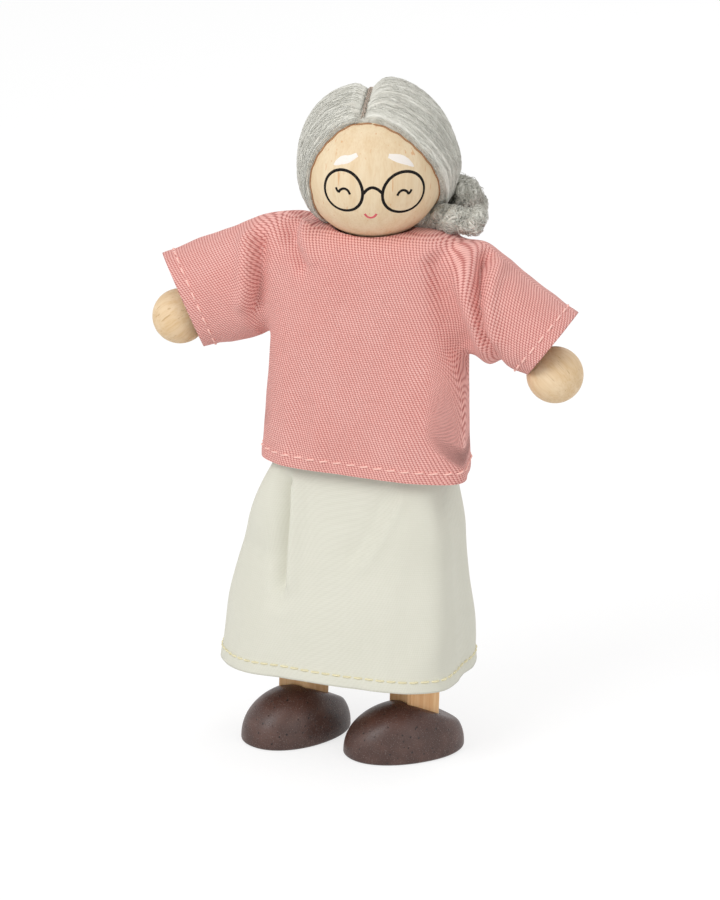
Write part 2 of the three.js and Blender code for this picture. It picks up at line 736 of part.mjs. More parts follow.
function skirtForm(grown, beyond = 0) {
  const off = 2 * clearance + elastic.thickness + cloth;
  const rows = beyond ? [-0.05] : [];
  for (let k = 0; k <= 9; k++) rows.push(k / 9);
  if (beyond) rows.push(1 + beyond / 10);
  const drop = bandTop - skirt.hemHeight;
  return loft(rows.reverse().map((share) => {
    const spread = Math.max(share * drop - elastic.height, 0) / (drop - elastic.height);
    const halfWidth = mix(hipWidth / 2 + off, skirt.hemWidth / 2, spread) + grown;
    const halfDepth = mix(torso.depth / 2 + off, skirt.hemDepth / 2, spread) + grown;
    const squareness = mix(skirt.waistSquareness, skirt.squareness, smooth(spread, 0, 0.35));
    const foldTurn = Math.PI + radians(skirt.foldDegrees);
    return ring(halfWidth, halfDepth, squareness, facets.skirt, (x, y, turn) => {
      const foldHere = skirt.fold
        * Math.exp(-(((turn - foldTurn) / radians(skirt.foldSpread)) ** 2))
        * smooth(spread, 0.04, 0.3) * (1 - smooth(spread, 0.55, 0.95));
      const wave = skirt.flute * spread ** 1.5 * Math.cos(skirt.flutes * turn + 0.7);
      const out = 1 + (wave - foldHere) / Math.hypot(x, y);
      const tilt = skirt.hemTilt * spread * (x / halfWidth);
      return new THREE.Vector3(x * out - skirt.hemShift * spread, y * out,
        bandTop - share * drop + tilt);
    });
  }));
}

const skirtCloth = () => skirtForm(0).subtract(skirtForm(-cloth, 1));

// The doll, put together: a group turns where its joint is

function armOf(way, name) {
  const knuckle = piece(`shoulder_knuckle_${name}`, shoulderKnuckle(), paleWood);
  knuckle.rotateY(way * Math.PI / 2).rotateZ(Math.PI / 2);
  const forearm = piece(`forearm_hand_${name}`, forearmHand(), handWood);
  forearm.position.z = -arm.upper;
  const lower = new THREE.Group().add(
    piece(`upper_arm_${name}`, upperArm(), handWood),
    piece(`elbow_pin_${name}`, elbowPin(), pinSteel),
    forearm,
  );
  lower.rotation.y = -way * (Math.PI / 2 - armSlope(way));
  const whole = new THREE.Group().add(
    knuckle, piece(`shoulder_pin_${name}`, shoulderPin(), pinSteel), lower);
  whole.position.set(way * shoulderX, 0, shoulderHeight);
  return whole;
}

function legOf(way, name, toeDegrees) {
  const atKnee = new THREE.Group().add(
    piece(`thigh_${name}`, thigh(), legWood),
    piece(`knee_pin_${name}`, kneePin(), pinSteel),
    piece(`shin_${name}`, shin(), legWood),
  );
  atKnee.position.z = leg.kneeHeight - hipHeight;
  const foot = piece(`shoe_${name}`, shoeSolid(), shoePaint);
  foot.position.z = -hipHeight;
  const swivelling = new THREE.Group().add(
    piece(`thigh_dowel_${name}`, thighDowel(), paleWood), atKnee, foot);
  swivelling.rotation.z = radians(toeDegrees);
  const whole = new THREE.Group().add(
    piece(`hip_knuckle_${name}`, hipKnuckle(), paleWood), swivelling);
  whole.position.set(way * hipX, 0, hipHeight);
  return whole;
}

// The head's own frame is turned and raised, so what presses on the bun is brought into it
const turnHead = new THREE.Matrix4().makeRotationZ(radians(head.faceDegrees))
  .setPosition(0, 0, headHeight);
const shirtRoom = piece('', shirtForm(clearance), pinkCotton).geometry
  .applyMatrix4(turnHead.clone().invert());

const headGroup = new THREE.Group().add(
  piece('head_ball', headBall(), paleWood),
  piece('hair_cap', hairCap(), yarn),
  piece('parting_stitch', partingStitch(), brownThread),
  piece('hair_bun', hairBun(solidOf(shirtRoom)), yarn),
);
headGroup.applyMatrix4(turnHead);

const doll = new THREE.Group().add(
  piece('torso_block', torsoBlock(), paleWood),
  piece('neck_peg', neckPeg(), paleWood),
  piece('hip_pin_right', hipPin(-1), pinSteel),
  piece('hip_pin_left', hipPin(1), pinSteel),
  piece('shirt_body', shirtBody(), pinkCotton),
  piece('sleeve_right', sleeveCloth(-1), pinkCotton),
  piece('sleeve_left', sleeveCloth(1), pinkCotton),
  piece('waist_elastic', waistElastic(), whiteElastic),
  piece('skirt', skirtCloth(), creamCotton),
  headGroup,
  armOf(-1, 'right'),
  armOf(1, 'left'),
  legOf(-1, 'right', leg.toeDegreesRight),
  legOf(1, 'left', leg.toeDegreesLeft),
);

// The origin lies on the ground under the middle of the whole doll
doll.updateMatrixWorld(true);
const whole = new THREE.Box3().setFromObject(doll, true);
const centre = whole.getCenter(new THREE.Vector3());
doll.position.set(-centre.x, -centre.y, -whole.min.z);

export default doll;
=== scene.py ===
# %% [markdown]
# A small wooden doll for a dollhouse: turned and sawn wooden parts on pinned joints, yarn hair
# in a low bun, a sewn cotton top and a skirt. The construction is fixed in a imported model.
# This lesson dresses that model: every part that shows gets its fine surface and its finish.

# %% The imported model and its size
import json
import math
import random
from bisect import bisect_left

import bmesh
import bpy
from mathutils import Matrix, Vector, noise
from mathutils.bvhtree import BVHTree

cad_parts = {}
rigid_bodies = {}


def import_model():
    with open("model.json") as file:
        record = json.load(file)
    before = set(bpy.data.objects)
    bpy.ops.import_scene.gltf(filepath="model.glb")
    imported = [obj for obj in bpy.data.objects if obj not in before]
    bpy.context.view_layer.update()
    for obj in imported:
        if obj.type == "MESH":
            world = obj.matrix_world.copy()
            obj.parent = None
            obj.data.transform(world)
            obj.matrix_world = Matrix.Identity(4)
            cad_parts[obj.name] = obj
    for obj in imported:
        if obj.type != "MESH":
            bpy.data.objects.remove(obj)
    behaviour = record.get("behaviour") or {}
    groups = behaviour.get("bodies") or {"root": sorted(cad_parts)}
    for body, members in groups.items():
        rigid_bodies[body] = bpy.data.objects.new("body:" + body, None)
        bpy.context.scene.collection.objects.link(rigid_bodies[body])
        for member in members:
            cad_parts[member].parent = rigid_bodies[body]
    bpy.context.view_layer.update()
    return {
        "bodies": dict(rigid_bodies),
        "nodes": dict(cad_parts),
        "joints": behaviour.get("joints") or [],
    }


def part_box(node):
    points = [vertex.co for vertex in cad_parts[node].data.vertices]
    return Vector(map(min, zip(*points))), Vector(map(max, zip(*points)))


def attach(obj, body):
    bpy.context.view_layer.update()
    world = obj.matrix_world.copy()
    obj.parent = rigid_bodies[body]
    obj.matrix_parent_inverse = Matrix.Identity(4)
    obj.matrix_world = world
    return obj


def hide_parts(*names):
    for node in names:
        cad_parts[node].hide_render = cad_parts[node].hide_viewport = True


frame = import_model()
MM = 0.001

# %% [markdown]
# Everything below is worked out in millimetres, and turned into metres when a piece is done.
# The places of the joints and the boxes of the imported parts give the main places.

# %% Places in millimetres
joints = {joint["name"]: joint for joint in frame["joints"]}


def node_box(node):
    """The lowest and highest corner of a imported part, in millimetres."""
    low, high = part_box(node)
    return low / MM, high / MM


def joint_place(name):
    return Vector(joints[name]["pos_m"]) / MM


torso_low, torso_high = node_box("torso_block")
body_middle = (torso_low + torso_high) / 2
AXIS = Vector((body_middle.x, body_middle.y, 0))  # the doll's own upright axis
SIDES = {"right": -1, "left": 1}
print("axis at", [round(v, 2) for v in AXIS])

# %% [markdown]
# The doll stands with its body facing -Y. The photographer stood a little to the doll's left
# and above it. A long lens from 0.7 m keeps the proportions flat, as in a product picture.
# The camera is placed from two angles and a distance, and it aims at the middle of the frame.

# %% Camera
CAMERA_AZIMUTH = math.radians(20)
CAMERA_ELEVATION = math.radians(17)
CAMERA_ROLL = math.radians(1.6)
CAMERA_DISTANCE = 0.7
CAMERA_LENS = 147.3
AIM_HEIGHT = 58.5
AIM_ASIDE = 1.08  # millimetres to the camera's left of the doll's axis


def linked(name, data):
    """A new object of the scene, that shows a mesh, curve, lamp, camera or armature."""
    made = bpy.data.objects.new(name, data)
    bpy.context.scene.collection.objects.link(made)
    return made


camera_right = Vector((math.cos(CAMERA_AZIMUTH), math.sin(CAMERA_AZIMUTH), 0))
camera_back = Vector((
    math.sin(CAMERA_AZIMUTH) * math.cos(CAMERA_ELEVATION),
    -math.cos(CAMERA_AZIMUTH) * math.cos(CAMERA_ELEVATION),
    math.sin(CAMERA_ELEVATION),
))
camera_aim = (AXIS + Vector((0, 0, AIM_HEIGHT)) - camera_right * AIM_ASIDE) * MM

camera_data = bpy.data.cameras.new("camera")
camera_data.lens = CAMERA_LENS
camera = linked("camera", camera_data)
camera_turn = camera_back.to_track_quat("Z", "Y").to_matrix().to_4x4()
camera.matrix_world = (
    Matrix.Translation(camera_aim + camera_back * CAMERA_DISTANCE)
    @ camera_turn
    @ Matrix.Rotation(CAMERA_ROLL, 4, "Z")
)
bpy.context.scene.camera = camera
print("camera at", [round(v, 3) for v in camera.location])

# %% [markdown]
# The light is that of a white studio: a soft lamp at the front left, a weaker one at the right,
# one from behind, and an even pale world. Together they show a matt colour about as written.

# %% Lamps
LAMPS = {
    "key_lamp": {"from": (-0.24, -0.5, 0.52), "size": 0.35, "power": 2.4},
    "fill_lamp": {"from": (0.85, -0.5, 0.4), "size": 0.7, "power": 1.6},
    "back_lamp": {"from": (0.2, 0.8, 0.8), "size": 0.6, "power": 2.4},
}


def lamp(name, place, size, power):
    """A square soft lamp that looks at the middle of the doll."""
    data = bpy.data.lights.new(name, "AREA")
    data.size = size
    data.energy = power
    made = linked(name, data)
    made.location = place
    made.rotation_euler = (camera_aim - Vector(place)).to_track_quat("-Z", "Y").to_euler()


for lamp_name, facts in LAMPS.items():
    lamp(lamp_name, facts["from"], facts["size"], facts["power"])

# %% [markdown]
# The world and every finish are trees of shader nodes. A small class adds the nodes, so each
# finish below reads as a few lines of sums and mixes instead of a long list of links.

# %% Node trees
class Tree:
    """Adds nodes to a node tree, with their values and links given by socket name."""

    def __init__(self, tree):
        self.tree = tree
        tree.nodes.clear()

    def add(self, kind, values=None, **settings):
        node = self.tree.nodes.new(kind)
        for key, value in settings.items():
            setattr(node, key, value)
        for key, value in (values or {}).items():
            if isinstance(value, bpy.types.NodeSocket):
                self.tree.links.new(value, node.inputs[key])
            else:
                node.inputs[key].default_value = value
        return node

    def math(self, operation, *values):
        return self.add("ShaderNodeMath", dict(enumerate(values)), operation=operation).outputs[0]

    def times(self, first, second, plus=None):
        """The first value times the second, and plus a third where there is one."""
        if plus is None:
            return self.math("MULTIPLY", first, second)
        return self.math("MULTIPLY_ADD", first, second, plus)

    def ramp(self, value, low, high):
        """0 at low and 1 at high, with a soft start and end."""
        node = self.add("ShaderNodeMapRange", {
            "Value": value, "From Min": low, "From Max": high,
        }, interpolation_type="SMOOTHSTEP")
        return node.outputs["Result"]

    def mix(self, factor, first, second, blend="MIX"):
        node = self.add("ShaderNodeMix", data_type="RGBA", blend_type=blend)
        for socket, value in ((0, factor), (6, first), (7, second)):
            if isinstance(value, bpy.types.NodeSocket):
                self.tree.links.new(value, node.inputs[socket])
            else:
                node.inputs[socket].default_value = value
        return node.outputs[2]

    def noise(self, place, scale, detail=2):
        node = self.add("ShaderNodeTexNoise", {
            "Vector": place, "Scale": scale, "Detail": detail,
        })
        return node.outputs[0]

    def stretch(self, place, factors):
        node = self.add("ShaderNodeVectorMath", {0: place, 1: factors}, operation="MULTIPLY")
        return node.outputs[0]

    def parts(self, place):
        """The X, Y and Z of a place, by name."""
        return self.add("ShaderNodeSeparateXYZ", {"Vector": place}).outputs

    def wave(self, turns):
        """A wave from 0 to 1, one for each turn."""
        swing = self.math("COSINE", self.times(turns, 2 * math.pi))
        return self.times(swing, 0.5, 0.5)

    def wave_of(self, place, pitch):
        return self.wave(self.math("DIVIDE", place, pitch))

    def bumped(self, height, depth):
        """A normal from a height of 0 to 1, at a depth in millimetres."""
        return self.add("ShaderNodeBump", {
            "Height": height, "Distance": depth * MM,
        }).outputs["Normal"]


# %% [markdown]
# The floor and the world look white only to the camera, so that their white adds no light to
# the doll. As sources of light the world is darker, and the floor is plain matt paper.

# %% World and floor
WORLD_LEVEL = 0.63


def to_camera(tree):
    """1 for what the camera sees directly, in a reflection or through glass, and 0 for light."""
    path = tree.add("ShaderNodeLightPath")
    seen = tree.math("MAXIMUM", path.outputs["Is Camera Ray"], path.outputs["Is Glossy Ray"])
    return tree.math("MAXIMUM", seen, path.outputs["Is Transmission Ray"])


world = bpy.data.worlds.new("studio")
world.use_nodes = True
bpy.context.scene.world = world
sky = Tree(world.node_tree)
sky_level = sky.add("ShaderNodeMapRange", {
    "Value": to_camera(sky), "To Min": WORLD_LEVEL, "To Max": 1.0,
}).outputs["Result"]
sky_shader = sky.add("ShaderNodeBackground", {"Color": (1, 1, 1, 1), "Strength": sky_level})
sky.add("ShaderNodeOutputWorld", {"Surface": sky_shader.outputs[0]})

FLOOR_SIZE = 6.0
FLOOR_SHADOW = 0.4  # how much of the doll's shadow the white floor shows
FLOOR_WHITE = 1.2  # with the lit matt part it adds up to white

floor_material = bpy.data.materials.new("white_floor")
floor_material.use_nodes = True
paper = Tree(floor_material.node_tree)
matt = paper.add("ShaderNodeBsdfDiffuse", {"Color": (0.8, 0.8, 0.8, 1)})
white = paper.add("ShaderNodeEmission", {"Color": (1, 1, 1, 1), "Strength": FLOOR_WHITE})
whiteness = paper.times(to_camera(paper), 1 - FLOOR_SHADOW)
paper_mix = paper.add("ShaderNodeMixShader", {
    "Fac": whiteness, 1: matt.outputs[0], 2: white.outputs[0],
})
paper.add("ShaderNodeOutputMaterial", {"Surface": paper_mix.outputs[0]})


def as_object(name, shape):
    """Makes a bmesh the mesh of a new object, and frees the bmesh."""
    data = bpy.data.meshes.new(name)
    shape.to_mesh(data)
    shape.free()
    return linked(name, data)


floor_shape = bmesh.new()
bmesh.ops.create_grid(floor_shape, x_segments=1, y_segments=1, size=FLOOR_SIZE / 2)
floor = as_object("floor", floor_shape)
floor.data.materials.append(floor_material)
bpy.context.scene.view_settings.view_transform = "Standard"

# %% [markdown]
# An effect that several finishes share is a node group, built once: the grain of wood, the
# weave of cloth, the fibres of wool and thin printed ink. A group works on a place given in
# millimetres, and puts out colours, masks and heights. The shader stays in each material.

# %% Node groups
SOCKETS = {"vector": "NodeSocketVector", "value": "NodeSocketFloat", "colour": "NodeSocketColor"}


def linear(code):
    """A colour written as in a picture, such as dcc398, in linear light."""
    parts = [int(code[k:k + 2], 16) / 255 for k in (0, 2, 4)]
    return (*(c / 12.92 if c <= 0.04045 else ((c + 0.055) / 1.055) ** 2.4 for c in parts), 1)


def node_group(name, inputs, outputs):
    """A shader node group with named sockets: the group, its tree and its input sockets."""
    made = bpy.data.node_groups.new(name, "ShaderNodeTree")
    for in_out, sockets in (("INPUT", inputs), ("OUTPUT", outputs)):
        for socket, kind in sockets.items():
            made.interface.new_socket(socket, in_out=in_out, socket_type=SOCKETS[kind])
    tree = Tree(made)
    return made, tree, tree.add("NodeGroupInput").outputs


def placed(group, tree, values):
    return tree.add("ShaderNodeGroup", values, node_tree=group).outputs


def millimetres(tree):
    """The place on the piece, in millimetres."""
    place = tree.add("ShaderNodeTexCoord").outputs["Object"]
    return tree.stretch(place, (1000, 1000, 1000))


def finish(name, fill, **values):
    """A material. fill(tree) gives the sockets that change over the surface."""
    material = bpy.data.materials.new(name)
    material.use_nodes = True
    tree = Tree(material.node_tree)
    shader = tree.add("ShaderNodeBsdfPrincipled", {**values, **fill(tree)})
    tree.add("ShaderNodeOutputMaterial", {"Surface": shader.outputs[0]})
    return material


# %% [markdown]
# Sawn and turned wood shows long soft streaks along the grain, finer fibres between them, and
# short darker flecks. All three are the same kind of noise, stretched along the grain.

# %% Wood
wood_grain, tree, given = node_group("wood_grain", {
    "Place": "vector", "Pale": "colour", "Dark": "colour", "Fleck": "colour", "Flecks": "value",
}, {"Color": "colour", "Roughness": "value", "Height": "value"})
streaks = tree.noise(tree.stretch(given["Place"], (1, 1, 0.07)), 0.55, 4)
fibres = tree.noise(tree.stretch(given["Place"], (1, 1, 0.05)), 3.2, 2)
fleck_noise = tree.noise(tree.stretch(given["Place"], (1, 1, 0.1)), 1.9, 1)
cloudy = tree.noise(tree.stretch(given["Place"], (1, 1, 0.3)), 0.12, 1)
tone = tree.times(tree.ramp(fibres, 0.35, 0.7), 0.42)
tone = tree.times(tree.ramp(streaks, 0.36, 0.66), 0.5, tone)
tone = tree.times(tree.ramp(cloudy, 0.35, 0.7), 0.2, tone)
flecks = tree.times(tree.ramp(fleck_noise, 0.68, 0.76), given["Flecks"])
grain_colour = tree.mix(tone, given["Pale"], given["Dark"])
tree.add("NodeGroupOutput", {
    "Color": tree.mix(flecks, grain_colour, given["Fleck"]),
    "Roughness": tree.times(tone, 0.12, 0.5),
    "Height": tree.times(fibres, -0.6, tree.times(flecks, -0.4)),
})


def wood(name, pale, dark, fleck, flecks, lean=0.0):
    """A wood finish whose grain runs upwards, or leans over by an angle about Y."""
    def fill(tree):
        turned_place = tree.add("ShaderNodeMapping", {
            "Vector": millimetres(tree), "Rotation": (0, lean, 0),
        }).outputs[0]
        grain = placed(wood_grain, tree, {
            "Place": turned_place, "Pale": linear(pale), "Dark": linear(dark),
            "Fleck": linear(fleck), "Flecks": flecks,
        })
        return {"Base Color": grain["Color"], "Roughness": grain["Roughness"],
                "Normal": tree.bumped(grain["Height"], 0.06)}
    return finish(name, fill, **{"Specular IOR Level": 0.35})


face_wood = wood("face_wood", "e6d3b3", "dcc29c", "cf945e", 0.6)
hand_wood = {
    "right": wood("hand_wood_right", "e8cfac", "d9b98d", "b08a5c", 0.5, math.radians(-52)),
    "left": wood("hand_wood_left", "e8cfac", "d9b98d", "b08a5c", 0.5, math.radians(50)),
}
leg_wood = wood("leg_wood", "f6cf9d", "e3ae7a", "b57b4a", 0.45)
inner_wood = wood("inner_wood", "ead2a8", "d9b888", "b98a58", 0.4)

# %% [markdown]
# The shoes are dipped in dark brown paint. Bubbles left small round pores in it, and these are
# painted near black, as painted shade. Between them the dried paint is finely grained, so its
# highlights sparkle a little, and pale specks on the grains are painted highlights. Towards the
# top the paint is painted redder, a painted reflection of the wooden shin.

# %% Paint, ink, steel and elastic
def paint_fill(tree):
    place = millimetres(tree)
    clouds = tree.ramp(tree.noise(place, 0.3, 2), 0.35, 0.7)
    cells = tree.add("ShaderNodeTexVoronoi", {"Vector": place, "Scale": 0.85, "Randomness": 1.0})
    lumpy = tree.times(tree.noise(place, 2.4, 2), 0.5, cells.outputs["Distance"])
    pores_and_painted_shade = tree.ramp(lumpy, 0.42, 0.33)
    grains_and_painted_glints = tree.ramp(tree.noise(place, 4.5, 2), 0.56, 0.72)
    painted_shin_reflection = tree.ramp(tree.parts(place)["Z"], 5.0, 9.5)
    colour = tree.mix(clouds, linear("452d26"), linear("553b33"))
    # painted reflection: the paint turns redder towards the top, where the shin is mirrored
    colour = tree.mix(tree.times(painted_shin_reflection, 0.5), colour, linear("5a3327"))
    # painted highlights: the grains are painted pale, as glints
    colour = tree.mix(tree.times(grains_and_painted_glints, 0.45), colour, linear("95827a"))
    # painted shade: the pores are painted near black
    colour = tree.mix(pores_and_painted_shade, colour, linear("1c110e"))
    height = tree.math("SUBTRACT", tree.times(grains_and_painted_glints, 0.5), pores_and_painted_shade)
    return {"Base Color": colour, "Normal": tree.bumped(height, 0.09),
            "Roughness": tree.times(grains_and_painted_glints, -0.12, 0.42)}


shoe_paint = finish("shoe_paint", paint_fill, **{"Specular IOR Level": 0.5})

thin_print, tree, given = node_group("thin_print", {
    "Place": "vector", "Ink": "colour", "Wood": "colour", "Cover": "value",
}, {"Color": "colour", "Height": "value"})
through = tree.noise(tree.stretch(given["Place"], (1, 1, 0.1)), 4.5, 2)
bare = tree.math("SUBTRACT", 1.0, given["Cover"])
breaks = tree.times(tree.ramp(through, 0.55, 0.75), bare)
tree.add("NodeGroupOutput", {
    "Color": tree.mix(breaks, given["Ink"], given["Wood"]), "Height": through,
})


def ink(name, colour, cover, roughness):
    def fill(tree):
        print_out = placed(thin_print, tree, {
            "Place": millimetres(tree), "Ink": linear(colour), "Wood": linear("ecd3ae"),
            "Cover": cover,
        })
        return {"Base Color": print_out["Color"],
                "Normal": tree.bumped(print_out["Height"], 0.02)}
    return finish(name, fill, Roughness=roughness, **{"Specular IOR Level": 0.15})


black_ink = ink("black_ink", "0d0908", 0.96, 0.5)
white_ink = ink("white_ink", "efe8e1", 0.75, 0.6)
red_ink = ink("red_ink", "d6606a", 0.75, 0.5)


def steel_fill(tree):
    rings = tree.noise(tree.stretch(millimetres(tree), (0.3, 5, 5)), 2.0, 2)
    return {"Base Color": tree.mix(rings, linear("a9abad"), linear("cfd1d3")),
            "Roughness": tree.times(rings, 0.25, 0.22),
            "Normal": tree.bumped(rings, 0.01)}


def elastic_fill(tree):
    place = tree.parts(millimetres(tree))
    around = tree.math("ADD", place["X"], place["Y"])
    ribs = tree.wave_of(around, 0.7)
    rows = tree.wave_of(place["Z"], 0.6)
    woven = tree.times(ribs, rows)
    # painted shade: the weave is painted darker where its threads dip, between the ribs and rows
    return {"Base Color": tree.mix(woven, linear("dedbd2"), linear("f6f4ee")),
            "Roughness": tree.times(woven, 0.1, 0.75),
            "Normal": tree.bumped(woven, 0.1)}


pin_steel = finish("pin_steel", steel_fill, Metallic=1.0)
white_elastic = finish("white_elastic", elastic_fill)

# %% [markdown]
# The cotton is a fine twill. Its threads cross in rows, and each row's crossing lies a little
# further aside, so slanting ribs appear with pits between them, and painted shade darkens the
# pits. Three waves added up give that lattice: one across the rows, one across the ribs, and
# the one between the two.

# %% Woven cotton
woven_twill, tree, given = node_group("woven_twill", {
    "Cloth": "vector", "Row Pitch": "value", "Rib Pitch": "value", "Lean": "value",
}, {"Height": "value", "Pits": "value", "Thread Tone": "value"})
cloth = tree.parts(given["Cloth"])
uneven = tree.times(tree.noise(given["Cloth"], 0.35, 2), 0.5, -0.25)
across = tree.math("ADD", cloth["X"], tree.times(uneven, 0.5))
up = tree.math("ADD", cloth["Y"], tree.times(uneven, 0.25))
row_turns = tree.math("DIVIDE", up, given["Row Pitch"])
leaning = tree.times(up, given["Lean"], across)
rib_turns = tree.math("DIVIDE", leaning, given["Rib Pitch"])
rows = tree.wave(row_turns)
ribs = tree.wave(rib_turns)
between = tree.wave(tree.math("SUBTRACT", rib_turns, row_turns))
lattice = tree.times(ribs, 0.42, tree.times(rows, 0.36))
lattice = tree.times(between, 0.22, lattice)
rows_of_thread = tree.noise(tree.stretch(given["Cloth"], (0.3, 2.5, 1)), 1.0, 1)
threads_up = tree.noise(tree.stretch(given["Cloth"], (2.5, 0.2, 1)), 1.0, 1)
tree.add("NodeGroupOutput", {
    "Height": lattice,
    "Pits": tree.ramp(lattice, 0.62, 0.15),
    "Thread Tone": tree.times(rows_of_thread, 0.5, tree.times(threads_up, 0.5)),
})


ROW_PITCH, RIB_PITCH = 0.398, 0.588  # millimetres


def cotton(name, rib, pit, pale, lean, pit_share, relief):
    """A cotton twill. The colours are of the ribs, the painted shade in the pits and the paler
    threads.
    """
    def fill(tree):
        cloth = tree.add("ShaderNodeUVMap", uv_map="cloth").outputs[0]
        weave = placed(woven_twill, tree, {
            "Cloth": cloth, "Row Pitch": ROW_PITCH, "Rib Pitch": RIB_PITCH, "Lean": lean,
        })
        clouds = tree.ramp(tree.noise(cloth, 0.09, 3), 0.3, 0.7)
        threads = tree.ramp(weave["Thread Tone"], 0.35, 0.65)
        soft = tree.times(threads, 0.35, tree.times(clouds, 0.4))
        colour = tree.mix(soft, linear(rib), linear(pale))
        # painted shade: the pits of the weave are painted darker, where shade falls between the
        # threads
        pit_shade_mask = tree.times(weave["Pits"], pit_share)
        return {"Base Color": tree.mix(pit_shade_mask, colour, linear(pit)),
                "Normal": tree.bumped(weave["Height"], relief)}
    return finish(name, fill, Roughness=0.92, **{
        "Sheen Weight": 0.12, "Sheen Roughness": 0.5, "Specular IOR Level": 0.2,
    })


pink_twill = cotton("pink_twill", "f0b3aa", "b1605a", "f6c3bb", 0.45, 1.0, 0.16)
cream_cotton = cotton("cream_cotton", "d7d6c8", "c4c2b1", "dcdbce", -0.45, 0.2, 0.015)


def thread(name, colour, dark):
    """Sewing thread: two plies twisted together."""
    def fill(tree):
        along = tree.add("ShaderNodeUVMap", uv_map="UVMap").outputs[0]
        part = tree.parts(along)
        turns = tree.times(part["Y"], 3.0)
        twist = tree.wave(tree.times(part["X"], 2.0, turns))
        fuzz = tree.noise(millimetres(tree), 5.0, 2)
        shade = tree.times(twist, 0.6, tree.times(fuzz, 0.4))
        return {"Base Color": tree.mix(shade, linear(dark), linear(colour)),
                "Normal": tree.bumped(shade, 0.05)}
    return finish(name, fill, Roughness=0.8)


pink_thread = thread("pink_thread", "ffd6cb", "eeb0a6")
cream_thread = thread("cream_thread", "f3ecc9", "d3caa2")
brown_thread = thread("brown_thread", "c3b4a5", "9d8c80")
# dried glue and painted shadow: the colour of the brown line along the hairline
edge_thread = thread("edge_thread", "b98a62", "8a5d3c")

# %% [markdown]
# Wool is many fine fibres laid side by side. The yarn's own map runs along the strand and round
# it, so a noise stretched along the strand draws the fibres. Each strand also carries a tone of
# its own, so that neighbours differ, and the strands in the grooves are painted darker, as
# painted shade.

# %% Wool
def wool_fill(tree):
    along = tree.add("ShaderNodeUVMap", uv_map="UVMap").outputs[0]
    tone = tree.add("ShaderNodeAttribute", attribute_name="tone").outputs["Fac"]
    place = millimetres(tree)
    drift = tree.times(tree.noise(place, 0.3, 1), 9.0)
    part = tree.parts(along)
    fibre_place = tree.add("ShaderNodeCombineXYZ", {
        "X": tree.times(part["X"], 16.0),
        "Y": tree.times(part["Y"], 7.0, drift),
        "Z": tree.times(tone, 31.0),
    }).outputs[0]
    fibres = tree.ramp(tree.noise(fibre_place, 1.0, 3), 0.3, 0.7)
    fuzz = tree.noise(place, 3.4, 3)
    clouds = tree.ramp(tree.noise(place, 0.33, 3), 0.3, 0.7)
    shade = tree.times(fibres, 0.45, tree.times(fuzz, 0.3))
    shade = tree.times(clouds, 0.15, shade)
    # the tone carries painted shade: it is lower for strands in the grooves
    shade = tree.times(tone, 0.5, tree.math("SUBTRACT", shade, 0.2))
    colour = tree.mix(shade, linear("b3b1a6"), linear("ecebe2"))
    warm = tree.times(tree.ramp(tree.noise(place, 0.5, 1), 0.5, 0.8), 0.12)
    return {"Base Color": tree.mix(warm, colour, linear("bfae9f")),
            "Normal": tree.bumped(tree.math("ADD", fibres, fuzz), 0.03)}


grey_wool = finish("grey_wool", wool_fill, Roughness=0.95, **{
    "Sheen Weight": 0.25, "Sheen Roughness": 0.6, "Specular IOR Level": 0.15,
})

# %% [markdown]
# Most parts here are round: turned wood, a ball, a tube of cloth, a strand of yarn. Blender's
# grid operator makes a flat net of faces, and a formula then wraps it round, as a potter wraps
# a slab. The seam where the net meets itself is merged, and open ends are filled or left open.

# %% Wrapped and turned shapes
MERGE = 1e-4  # millimetres: points nearer than this are one point


def wrapped(shape, place, around, along, mapped=False):
    """Adds a net of faces, moved to place(share round, share along), and merges its seam."""
    net = bmesh.ops.create_grid(shape, x_segments=around, y_segments=along, size=0.5,
                                calc_uvs=mapped)
    for vertex in net["verts"]:
        vertex.co = place(vertex.co.x + 0.5, vertex.co.y + 0.5)
    bmesh.ops.remove_doubles(shape, verts=net["verts"], dist=MERGE)


def close_ends(shape):
    """Fills the open ends of a tube, and points every face outwards."""
    open_edges = [edge for edge in shape.edges if edge.is_boundary]
    bmesh.ops.holes_fill(shape, edges=open_edges)
    bmesh.ops.recalc_face_normals(shape, faces=shape.faces)


def turned(profile, steps):
    """A shape turned on a lathe about Z, from points of radius and height."""
    shape = bmesh.new()
    line = [shape.verts.new((radius, 0, height)) for radius, height in profile]
    edges = [shape.edges.new(pair) for pair in zip(line, line[1:])]
    bmesh.ops.spin(
        shape, geom=line + edges, axis=(0, 0, 1), cent=(0, 0, 0), angle=2 * math.pi,
        steps=steps, use_merge=True,
    )
    bmesh.ops.remove_doubles(shape, verts=shape.verts, dist=MERGE)
    bmesh.ops.recalc_face_normals(shape, faces=shape.faces)
    return shape


def round_profile(radius, half_height, middle, low, high, steps):
    """Points of a ball's profile, between two latitudes in degrees."""
    points = []
    for k in range(steps + 1):
        latitude = math.radians(low + (high - low) * k / steps)
        points.append((
            max(radius * math.cos(latitude), 0), middle + half_height * math.sin(latitude),
        ))
    return points


# %% [markdown]
# A finished piece has its place in its mesh, and its object stays at the origin, so that it
# can ride on a body of the doll. Where it stands for a plain part, that part is hidden.

# %% Finished pieces
def finished(name, shape, body, surface, replaces=()):
    """A bmesh in millimetres becomes a piece in metres that rides on a body."""
    bmesh.ops.scale(shape, vec=(MM, MM, MM), verts=shape.verts)
    piece = as_object(name, shape)
    piece.data.shade_smooth()
    piece.data.materials.append(surface)
    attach(piece, body)
    if replaces:
        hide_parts(*replaces)
    return piece


def final_mesh(holder):
    """The mesh of an object with its modifiers or its bevel, after which the object goes."""
    graph = bpy.context.evaluated_depsgraph_get()
    data = bpy.data.meshes.new_from_object(holder.evaluated_get(graph))
    bpy.data.objects.remove(holder)
    return data


